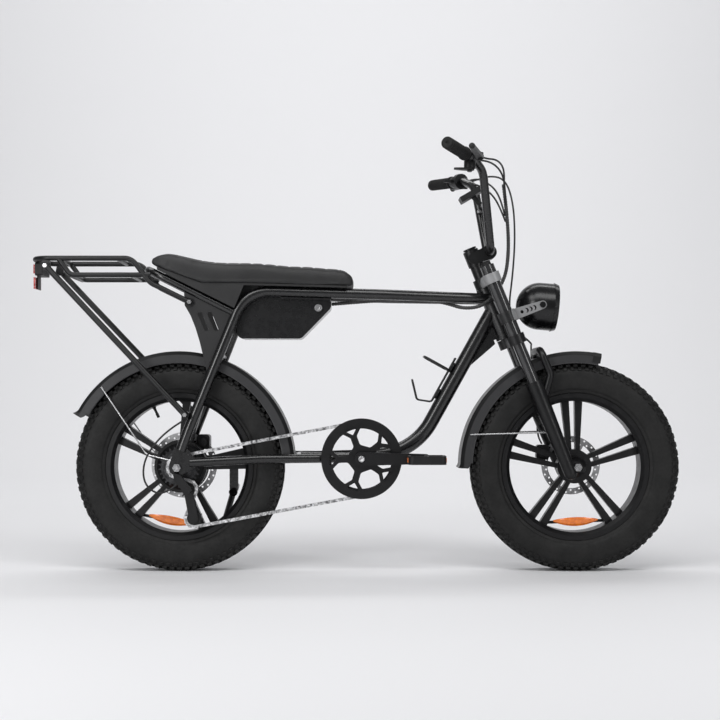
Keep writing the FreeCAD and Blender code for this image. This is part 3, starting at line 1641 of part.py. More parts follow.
def kickstand_leg():
    pivot = stand_pivot()
    axis = stand_axis()
    foot = stand_foot()
    knuckle = rod(pivot - axis * stand_knuckle_half, pivot + axis * stand_knuckle_half,
                  stand_knuckle_radius)
    leg = rod(pivot, foot + vec(0, 0, stand_foot_height / 2), stand_leg_radius)
    pad = cone(foot, foot + vec(0, 0, stand_foot_height), stand_foot_radius, stand_leg_radius + fit_gap)
    bore = rod(pivot - axis * stand_knuckle_radius, pivot + axis * stand_knuckle_radius,
               stand_pin_radius + run_gap)
    return knuckle.multiFuse([leg, pad]).cut(bore)


# Handlebar and stem
bar_centre = steer_point(bar_ahead, 0, bar_up)
bar_knee = bar_centre + side_axis * bar_knee_side
bar_top = bar_centre + vec(-bar_top_back, bar_top_side, bar_top_rise)
bar_turn = bar_centre + vec(-bar_bend_back, bar_bend_side, bar_bend_rise)
bar_end = bar_centre + vec(-bar_end_back, bar_end_side, bar_end_rise)
cross_bar_end = bar_knee + (bar_top - bar_knee) * cross_bar_share
cross_bar_middle = vec(cross_bar_end.x, 0, cross_bar_end.z)


def other_side(point):
    return vec(point.x, -point.y, point.z)


def handlebar():
    left = [bar_end, bar_turn, bar_top, bar_knee]
    right = [other_side(point) for point in reversed(left)]
    bends = [bar_high_bend, bar_high_bend, bar_low_bend]
    tube = pipe(left + right, bends + list(reversed(bends)), bar_radius)
    return tube.fuse(rod(cross_bar_end, other_side(cross_bar_end), cross_bar_radius))


def stem():
    column = rod(steer_point(0, 0, stem_foot), steer_point(0, 0, stem_foot + stem_height), stem_radius)
    neck_share = 0.8
    neck = strap(steer_point(0, 0, bar_up), bar_clamp_radius * neck_share, bar_centre, bar_clamp_radius,
                 -bar_clamp_half, bar_clamp_half)
    crown_top = upper_crown_top + fit_gap
    steerer = rod(steer_point(0, 0, crown_top - overrun), steer_point(0, 0, steerer_top),
                  steerer_radius + fit_gap)
    bar = disc(bar_centre, bar_radius + fit_gap, -bar_knee_side, bar_knee_side)
    spacer = rod(steer_point(0, 0, crown_top), steer_point(0, 0, stem_foot - fit_gap), spacer_radius)
    cap_foot = max(stem_foot + stem_height, steerer_top) + fit_gap
    cap = rod(steer_point(0, 0, cap_foot), steer_point(0, 0, cap_foot + bolt_head), spacer_radius)
    return Part.makeCompound([column.fuse(neck).cut(steerer).cut(bar), spacer.cut(steerer), cap])


# Hand controls are laid out on the left end of the bar: X ahead of it, Y down, Z outward along it
hand_out = (bar_end - bar_turn).normalize()
hand_ahead = hand_out.cross(vec(0, 0, 1)).normalize()
hand_down = hand_out.cross(hand_ahead)


def hand_place(shape, distance):
    turn = FreeCAD.Rotation(hand_ahead, hand_down, hand_out, "ZXY")
    place = FreeCAD.Placement(bar_end - hand_out * distance, turn)
    shape.Placement = place.multiply(shape.Placement)
    return shape


def hand_ring(radius, length):
    return rod(vec(0, 0, -length / 2), vec(0, 0, length / 2), radius)


def grips():
    inner = vec(0, 0, -grip_length)
    tip = vec(0, 0, grip_flange_length / 2)
    body = rod(inner, tip, grip_radius)
    flange = rod(inner, inner + vec(0, 0, grip_flange_length), grip_flange_radius)
    bore = rod(inner - vec(0, 0, overrun), vec(0, 0, fit_gap), bar_radius + fit_gap)
    return both_sides(hand_place(body.fuse(flange).cut(bore), 0))


def lever_mount():
    pivot = vec(lever_pivot_ahead, 0, 0)
    ring = hand_ring(lever_clamp_radius, lever_clamp_length)
    low = lever_drop - lever_thickness / 2
    arm = strap(origin, lever_clamp_length / 2, pivot, lever_pivot_radius, -low, low - fit_gap)
    bore = hand_ring(bar_radius + fit_gap, 2 * lever_clamp_length)
    under = low + lever_thickness + fit_gap
    pin = disc(pivot, lever_pin_radius, 0, under)
    head = disc(pivot, bolt_head_radius, under, under + bolt_head)
    return hand_place(ring.fuse(arm).cut(bore).multiFuse([pin, head]), lever_clamp_at)


def brake_lever():
    pivot = vec(lever_pivot_ahead, 0, 0)
    tip = vec(lever_tip_ahead, 0, lever_reach)
    low = lever_drop - lever_thickness / 2
    blade = strap(pivot, lever_root_half, tip, lever_tip_half, low, low + lever_thickness)
    ball = Part.makeSphere(lever_ball_radius, tip + side_axis * lever_drop)
    bore = disc(pivot, lever_pin_radius + run_gap, low - overrun, low + lever_thickness + overrun)
    return hand_place(blade.fuse(ball).cut(bore), lever_clamp_at)


def shift_pod():
    ring = hand_ring(pod_radius, pod_length)
    floor = pod_top + pod_depth
    body = disc(origin, pod_body_radius, pod_top, floor)
    bore = hand_ring(bar_radius + fit_gap, 2 * pod_length)
    under = floor + paddle_thickness + 2 * fit_gap
    pin = disc(origin, lever_pin_radius, floor - fit_gap, under)
    head = disc(origin, bolt_head_radius, under, under + bolt_head)
    return hand_place(ring.fuse(body).cut(bore).multiFuse([pin, head]), pod_at)


def shift_lever():
    low = pod_top + pod_depth + fit_gap
    tip_shares = (-0.85, 0.5)
    tip = vec(tip_shares[0] * paddle_length, 0, tip_shares[1] * paddle_length)
    blade = strap(origin, pod_body_radius - lever_pin_radius, tip, paddle_half, low, low + paddle_thickness)
    bore = disc(origin, lever_pin_radius + run_gap, low - overrun, low + paddle_thickness + overrun)
    return mirrored(hand_place(blade.cut(bore), pod_at))


def switch_housing():
    ring = hand_ring(switch_radius, switch_length)
    bore = hand_ring(bar_radius + fit_gap, 2 * switch_length)
    return hand_place(ring.cut(bore), throttle_at + (throttle_length + switch_length) / 2 + fit_gap)


def throttle():
    ring = hand_ring(throttle_radius, throttle_length)
    tab_half = throttle_length / 2
    low = vec(-throttle_radius - throttle_tab_length, -throttle_tab_half / 2, -tab_half)
    high = vec(-bar_radius - run_gap, throttle_tab_half / 2, tab_half)
    tab = block(low, high)
    bore = hand_ring(bar_radius + run_gap, 2 * throttle_length)
    return hand_place(ring.fuse(tab).cut(bore), throttle_at)


def lever_mounts():
    left = lever_mount()
    return Part.makeCompound([left, mirrored(left), mirrored(shift_pod()), switch_housing()])


def display():
    half = vec(display_length / 2, display_width / 2, display_thickness / 2)
    case = block(half * -1, half)
    case = case.makeFillet(display_thickness / 3,
                           [edge for edge in case.Edges if edge.BoundBox.ZLength > display_thickness / 2])
    case.rotate(origin, side_axis, -display_tilt_deg)
    middle = cross_bar_middle + vec(-display_back, 0, display_lift)
    case.translate(middle)
    clamp = disc(cross_bar_middle, display_clamp_radius, -display_clamp_half, display_clamp_half)
    neck = rod(cross_bar_middle, middle, display_clamp_half / 2)
    bore = disc(cross_bar_middle, cross_bar_radius + fit_gap, -bar_knee_side, bar_knee_side)
    return clamp.multiFuse([neck, case]).cut(bore)


# Headlight
lamp_centre = front_axle + vec(lamp_ahead_of_axle, 0, lamp_above_axle)
lamp_angle = math.radians(lamp_tilt_deg)
lamp_axis = vec(math.cos(lamp_angle), 0, math.sin(lamp_angle))
lamp_rise = vec(-math.sin(lamp_angle), 0, math.cos(lamp_angle))


def lamp_at(along, radius):
    return lamp_centre + lamp_axis * along + lamp_rise * radius


def lamp_turned(edges):
    return upright(Part.Face(Part.Wire(edges)).revolve(lamp_centre, lamp_axis, 360))


def lamp_lines(pairs):
    points = [lamp_at(along, radius) for along, radius in pairs]
    return [Part.LineSegment(start, end).toShape() for start, end in zip(points, points[1:])]


def headlight_shell():
    bulge_share = math.sqrt(0.5)
    wall = lamp_wall
    inside = lamp_radius - wall
    bezel_foot = lamp_front - lamp_bezel
    lens_seat = lamp_bezel_radius - 2 * wall
    bulge = lamp_radius * bulge_share
    hollow = inside * bulge_share
    outer = Part.Arc(lamp_at(-lamp_radius, 0), lamp_at(-bulge, bulge), lamp_at(0, lamp_radius))
    inner = Part.Arc(lamp_at(0, inside), lamp_at(-hollow, hollow), lamp_at(-inside, 0))
    front = [(0, lamp_radius), (bezel_foot, lamp_radius), (bezel_foot, lamp_bezel_radius),
             (lamp_front, lens_seat + wall / 2),
             (lamp_front, lens_seat), (bezel_foot + wall, lens_seat), (bezel_foot + wall, lens_seat - wall),
             (bezel_foot - wall, lens_seat - wall), (bezel_foot - 2 * wall, inside), (0, inside)]
    close = [(-inside, 0), (-lamp_radius, 0)]
    bowl = lamp_turned([outer.toShape()] + lamp_lines(front) + [inner.toShape()] + lamp_lines(close))
    pins = []
    arm_outer = lamp_radius + arm_clearance + arm_thickness + fit_gap
    for facing in (-1, 1):
        sides = sorted((facing * inside, facing * (arm_outer + lamp_pin_head)))
        pins.append(disc(lamp_centre, lamp_pin_radius, sides[0], sides[1]))
        sides = sorted((facing * arm_outer, facing * (arm_outer + lamp_pin_head)))
        pins.append(disc(lamp_centre, lamp_pin_head_radius, sides[0], sides[1]))
    return bowl.multiFuse(pins)


def headlight_lens():
    rim = lamp_bezel_radius - 2 * lamp_wall - fit_gap
    foot = lamp_front - lamp_bezel + lamp_wall + fit_gap
    edge = foot + lens_thickness
    dome_radius = (rim ** 2 + lens_dome ** 2) / (2 * lens_dome)
    half_turn = math.asin(rim / dome_radius) / 2
    middle = edge + lens_dome - dome_radius * (1 - math.cos(half_turn))
    dome = Part.Arc(lamp_at(edge, rim), lamp_at(middle, dome_radius * math.sin(half_turn)),
                    lamp_at(edge + lens_dome, 0))
    sides = lamp_lines([(edge + lens_dome, 0), (foot, 0), (foot, rim), (edge, rim)])
    return lamp_turned([dome.toShape()] + sides)


def headlight_arm(facing):
    root = steer_point(crown_offset, 0, lamp_clamp_up)
    low = lamp_radius + arm_clearance
    sides = sorted((facing * low, facing * (low + arm_thickness)))
    arm = strap(root, arm_root_half, lamp_centre, arm_tip_half, sides[0], sides[1])
    hole_share = 0.42
    crescent_shares = (0.54, 0.65, 0.76)
    reach = lamp_centre - root
    bite = reach * (arm_hole_radius / reach.Length)

    def bore(centre, radius):
        return disc(centre, radius, sides[0] - overrun, sides[1] + overrun)

    holes = [bore(lamp_centre, lamp_pin_radius + run_gap), bore(root + reach * hole_share, arm_hole_radius)]
    for share in crescent_shares:
        middle = root + reach * share
        holes.append(bore(middle, arm_crescent_radius).cut(bore(middle - bite, arm_crescent_radius)))
    arm = arm.cut(Part.makeCompound(holes))
    up = lamp_clamp_up - lamp_clamp_height / 2
    foot = steer_point(crown_offset, facing * fork_side, up)
    top = steer_point(crown_offset, facing * fork_side, up + lamp_clamp_height)
    ring = rod(foot, top, sleeve_radius + fit_gap + lamp_clamp_wall)
    sleeve = rod(foot - steer_up * overrun, top + steer_up * overrun, sleeve_radius + fit_gap)
    return ring.fuse(arm).cut(sleeve)


def headlight_arms():
    return Part.makeCompound([headlight_arm(-1), headlight_arm(1)])


# Cables: waypoints ahead of the steering axis, to its left and up along it, as shares of one span
loom_shares = [(0.149, -0.008, 0.7758), (0.1255, -0.01, 0.6883), (0.0908, -0.014, 0.5944),
               (0.0498, -0.028, 0.5301), (-0.0211, -0.043, 0.4908), (-0.0758, -0.034, 0.5022),
               (-0.1193, -0.012, 0.5413), (-0.1933, -0.012, 0.5852)]
lever_cable_shares = [(0.1448, -0.12, 0.8293), (0.1614, -0.04, 0.801), (0.1453, -0.012, 0.7666)]
brake_cable_shares = [(0.1429, 0.14, 0.8301), (0.1733, 0.08, 0.7984), (0.1637, 0.04, 0.7268),
                      (0.13, 0.03, 0.6325), (0.086, 0.026, 0.5424), (0.0365, 0.024, 0.4546),
                      (0.0407, 0.026, 0.3903), (0.0655, 0.04, 0.3501), (0.0669, 0.085, 0.3431),
                      (0.0564, 0.106, 0.3063), (0.033, 0.106, 0.2403), (0.0178, 0.106, 0.1601),
                      (-0.0018, 0.098, 0.1249), (-0.0102, 0.078, 0.096), (-0.0103, 0.052, 0.0852)]


def route(shares):
    points = []
    for ahead, side, up in shares:
        points.append(steer_point(ahead * cable_span, side * cable_span, up * cable_span))
    return points


# The first run of a cable, out of the left lever's arm and along the bar
def lever_outlet():
    mouth = bar_end - hand_out * (lever_clamp_at + lever_pivot_radius) + hand_ahead * cable_ahead
    return [mouth, mouth - hand_out * cable_lead]


def control_cables():
    entry = vec(battery_front_x + loom_radius / 6, -loom_entry_side, battery_roof_z - loom_entry_drop)
    outlet = [other_side(point) for point in lever_outlet()]
    loom = cable(route(loom_shares) + [entry], loom_radius)
    return Part.makeCompound([loom, cable(outlet + route(lever_cable_shares), cable_radius)])


def front_brake_cable():
    return cable(lever_outlet() + route(brake_cable_shares), cable_radius)


def frame_bolts():
    bolts = []
    rack_eye = rear_point(rack_bolt_ahead, rack_bolt_rise, rack_side + rack_radius + fit_gap)
    strut_eye = rear_point(-strut_top_behind, strut_top_rise, strut_top_side + strut_radius + fit_gap)
    lug_eye = rear_point(strut_foot_ahead, strut_foot_rise, strut_foot_side + strut_radius + fit_gap)
    for eye in (rack_eye, strut_eye, lug_eye):
        head = hexagon(eye, side_axis, bolt_head_radius, bolt_head)
        bolts += [head, mirrored(head)]
    return Part.makeCompound(bolts)


pieces = {
    "head_tube": head_tube(),
    "down_tube": down_tube(),
    "frame_rail_right": frame_rail_right(),
    "frame_rail_left": frame_rail_left(),
    "seat_loop": seat_loop(),
    "chainstays": chainstays(),
    "gusset_plates": gusset_plates(),
    "battery_case": battery_case(),
    "seat_base": seat_base(),
    "seat_pad": seat_pad(),
    "rear_rack": rear_rack(),
    "tail_light": tail_light(),
    "tail_lenses": tail_lenses(),
    "rear_fender": rear_fender(),
    "rear_fender_stays": rear_fender_stays(),
    "bottle_cage": bottle_cage(),
    "rear_caliper": rear_caliper(),
    "derailleur_body": derailleur_body(),
    "rear_axle": axle(rear_axle, rear_axle_half, rear_drop_inner, rear_drop_thickness, rear_rotor_side),
    "frame_bolts": frame_bolts(),
    "chain": chain(),
    "lower_crown": lower_crown(),
    "upper_crown": upper_crown(),
    "stanchions": stanchions(),
    "stem": stem(),
    "handlebar": handlebar(),
    "grips": grips(),
    "lever_mounts": lever_mounts(),
    "display": display(),
    "headlight_arms": headlight_arms(),
    "control_cables": control_cables(),
    "fork_lowers": fork_lowers(),
    "front_axle": axle(front_axle, front_axle_half, front_drop_inner, front_drop_thickness, hub_half),
    "front_caliper": front_caliper(),
    "front_fender": front_fender(),
    "front_fender_stay": front_fender_stay(),
    "front_brake_cable": front_brake_cable(),
    "front_tyre": tyre(front_axle),
    "front_rim": front_rim(),
    "front_rotor": rotor(front_axle, front_rotor_radius, front_rotor_side),
    "rear_tyre": tyre(rear_axle),
    "rear_rim": rear_rim(),
    "hub_motor": hub_motor(),
    "rear_rotor": rotor(rear_axle, rear_rotor_radius, rear_rotor_side),
    "freewheel": freewheel(),
    "crank_arms": crank_arms(),
    "chainring": chainring(),
    "pedal_right": pedal(-1),
    "pedal_left": pedal(1),
    "derailleur_cage": derailleur_cage(),
    "guide_pulley": pulley(1, guide_centre),
    "tension_pulley": pulley(2, tension_centre(cage_deg)),
    "brake_lever_right": mirrored(brake_lever()),
    "brake_lever_left": brake_lever(),
    "shift_lever": shift_lever(),
    "throttle": throttle(),
    "preload_knob": preload_knob(),
    "headlight_shell": headlight_shell(),
    "headlight_lens": headlight_lens(),
    "kickstand_leg": kickstand_leg(),
}

os.makedirs("parts", exist_ok=True)
for node, shape in pieces.items():
    shape.exportStep("parts/" + node + ".step")
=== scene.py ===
import json
import math
import bpy
import bmesh
from mathutils import Matrix, Vector


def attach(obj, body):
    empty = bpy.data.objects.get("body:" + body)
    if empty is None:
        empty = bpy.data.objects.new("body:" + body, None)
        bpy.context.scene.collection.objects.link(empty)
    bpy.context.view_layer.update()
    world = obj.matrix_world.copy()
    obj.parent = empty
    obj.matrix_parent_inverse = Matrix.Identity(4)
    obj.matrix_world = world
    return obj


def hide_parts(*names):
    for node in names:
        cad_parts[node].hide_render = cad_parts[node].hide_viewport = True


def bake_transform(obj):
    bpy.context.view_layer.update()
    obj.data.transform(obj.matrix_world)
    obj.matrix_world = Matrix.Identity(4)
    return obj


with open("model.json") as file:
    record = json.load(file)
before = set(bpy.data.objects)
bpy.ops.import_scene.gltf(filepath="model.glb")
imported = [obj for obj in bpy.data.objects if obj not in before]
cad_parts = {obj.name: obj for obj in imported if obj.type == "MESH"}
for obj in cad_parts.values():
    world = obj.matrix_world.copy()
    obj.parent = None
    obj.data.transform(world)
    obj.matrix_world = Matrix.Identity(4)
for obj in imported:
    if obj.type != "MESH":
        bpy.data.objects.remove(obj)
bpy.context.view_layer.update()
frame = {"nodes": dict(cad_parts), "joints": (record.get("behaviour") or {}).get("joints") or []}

scene = bpy.context.scene
nodes = frame["nodes"]
joints = {joint["name"]: joint for joint in frame["joints"]}
frontAxle = Vector(joints["front_wheel_spin"]["pos_m"])
rearAxle = Vector(joints["rear_wheel_spin"]["pos_m"])
crankCentre = Vector(joints["crank_turn"]["pos_m"])
lampCentre = Vector(joints["headlight_tilt"]["pos_m"])
forward = Vector((1, 0, 0))
sideways = Vector((0, 1, 0))
upward = Vector((0, 0, 1))
mm = 0.001


def link(obj, material=None):
    scene.collection.objects.link(obj)
    if material:
        obj.data.materials.append(material)
    return obj


def meshPiece(name, points, faces, material, smooth=True):
    mesh = bpy.data.meshes.new(name)
    mesh.from_pydata([tuple(point) for point in points], [], faces)
    mesh.validate()
    mesh.update()
    if smooth:
        mesh.shade_smooth()
    return link(bpy.data.objects.new(name, mesh), material)


def tidyNormals(piece):
    work = bmesh.new()
    work.from_mesh(piece.data)
    bmesh.ops.recalc_face_normals(work, faces=work.faces)
    work.to_mesh(piece.data)
    work.free()


def closedPiece(name, points, faces, material, smooth=True):
    piece = meshPiece(name, points, faces, material, smooth)
    tidyNormals(piece)
    return piece


# faces between rings of points that have the same count
def ringFaces(rings, count, closed=False):
    faces = []
    last = rings if closed else rings - 1
    for ring in range(last):
        follow = (ring + 1) % rings
        for step in range(count):
            across = (step + 1) % count
            faces.append((ring * count + step, ring * count + across,
                          follow * count + across, follow * count + step))
    return faces


# the same with the first and the last ring filled
def cappedFaces(rings, count):
    ends = [tuple(reversed(range(count))), tuple(range((rings - 1) * count, rings * count))]
    return ringFaces(rings, count) + ends


def shiftFaces(faces, first):
    return [tuple(first + spot for spot in face) for face in faces]


# directions away from an axle and round it, at an angle from straight ahead
def wheelAxes(angle):
    outward = Vector((math.cos(angle), 0, math.sin(angle)))
    around = Vector((-math.sin(angle), 0, math.cos(angle)))
    return outward, around


def wheelPoint(centre, radius, side, angle):
    return centre + Vector((radius * math.cos(angle), side, radius * math.sin(angle)))


# sockets take a value, or the output of another node
def setSockets(tree, node, sockets):
    for socket, value in sockets.items():
        if isinstance(value, bpy.types.NodeSocket):
            tree.links.new(value, node.inputs[socket])
        else:
            node.inputs[socket].default_value = value


def addNode(tree, kind, sockets, **options):
    node = tree.nodes.new(kind)
    for option, value in options.items():
        setattr(node, option, value)
    setSockets(tree, node, sockets)
    return node


# camera where the photo was taken from: square side view, a little below the seat
cameraSettings = {"place": (0.009, -3.7, 0.4667), "pitch": 90, "lens": 68.4, "sensor": 36.0, "lift": 0.0514}


def addCamera(settings):
    data = bpy.data.cameras.new("sideCamera")
    data.lens = settings["lens"]
    data.sensor_width = settings["sensor"]
    data.shift_y = settings["lift"]
    camera = link(bpy.data.objects.new("sideCamera", data))
    camera.location = settings["place"]
    camera.rotation_euler = (math.radians(settings["pitch"]), 0, 0)
    scene.camera = camera


addCamera(cameraSettings)
print("camera placed")


# studio: a pale sweep behind the bike and soft lamps round it
studioSettings = {"floorFront": -9.0, "wall": 6.5, "halfWidth": 12.0, "sweep": 3.0, "sweepSteps": 12,
                  "height": 8.0, "tone": (0.80, 0.80, 0.815), "roughness": 0.7, "gloss": 0.2,
                  "air": (0.93, 0.94, 0.96), "airStrength": 0.22}
lampSettings = [
    {"name": "roofBox", "place": (-0.2, -1.8, 2.9), "aim": (0, 0, 0.5), "size": (4.4, 1.2), "power": 67},
    {"name": "frontBox", "place": (-2.0, -2.9, 1.2), "aim": (0, 0, 0.6), "size": (0.8, 2.2), "power": 38},
    {"name": "sideBox", "place": (2.5, -2.6, 1.3), "aim": (0.2, 0, 0.5), "size": (0.5, 1.8), "power": 18},
    {"name": "rearBox", "place": (0.0, 2.2, 5.0), "aim": (0, 5.6, 0.9), "size": (8.0, 1.6), "power": 230},
]


def addSweep(settings):
    material = bpy.data.materials.new("studioSweep")
    material.use_nodes = True
    tree = material.node_tree
    setSockets(tree, tree.nodes["Principled BSDF"], {
        "Roughness": settings["roughness"], "Specular IOR Level": settings["gloss"],
        "Base Color": (*settings["tone"], 1)})
    bend = settings["wall"] - settings["sweep"]  # where the floor starts to rise
    line = [(settings["floorFront"], 0.0), (bend, 0.0)]
    for step in range(1, settings["sweepSteps"] + 1):
        angle = math.pi / 2 * step / settings["sweepSteps"]
        line.append((bend + settings["sweep"] * math.sin(angle), settings["sweep"] * (1 - math.cos(angle))))
    line.append((settings["wall"], settings["height"]))
    points = []
    for y, z in line:
        points += [(-settings["halfWidth"], y, z), (settings["halfWidth"], y, z)]
    faces = [(2 * i, 2 * i + 1, 2 * i + 3, 2 * i + 2) for i in range(len(line) - 1)]
    meshPiece("studioSweep", points, faces, material)


def addAir(settings):
    world = bpy.data.worlds.new("studioAir")
    scene.world = world
    world.use_nodes = True
    setSockets(world.node_tree, world.node_tree.nodes["Background"], {
        "Color": (*settings["air"], 1), "Strength": settings["airStrength"]})


def addLamp(lamp):
    data = bpy.data.lights.new(lamp["name"], "AREA")
    data.shape = "RECTANGLE"
    data.size, data.size_y = lamp["size"]
    data.energy = lamp["power"]
    light = link(bpy.data.objects.new(lamp["name"], data))
    light.location = lamp["place"]
    aim = Vector(lamp["aim"]) - Vector(lamp["place"])
    light.rotation_euler = aim.to_track_quat("-Z", "Y").to_euler()


addSweep(studioSettings)
addAir(studioSettings)
for lamp in lampSettings:
    addLamp(lamp)
scene.view_settings.view_transform = "Standard"
print("studio lit")


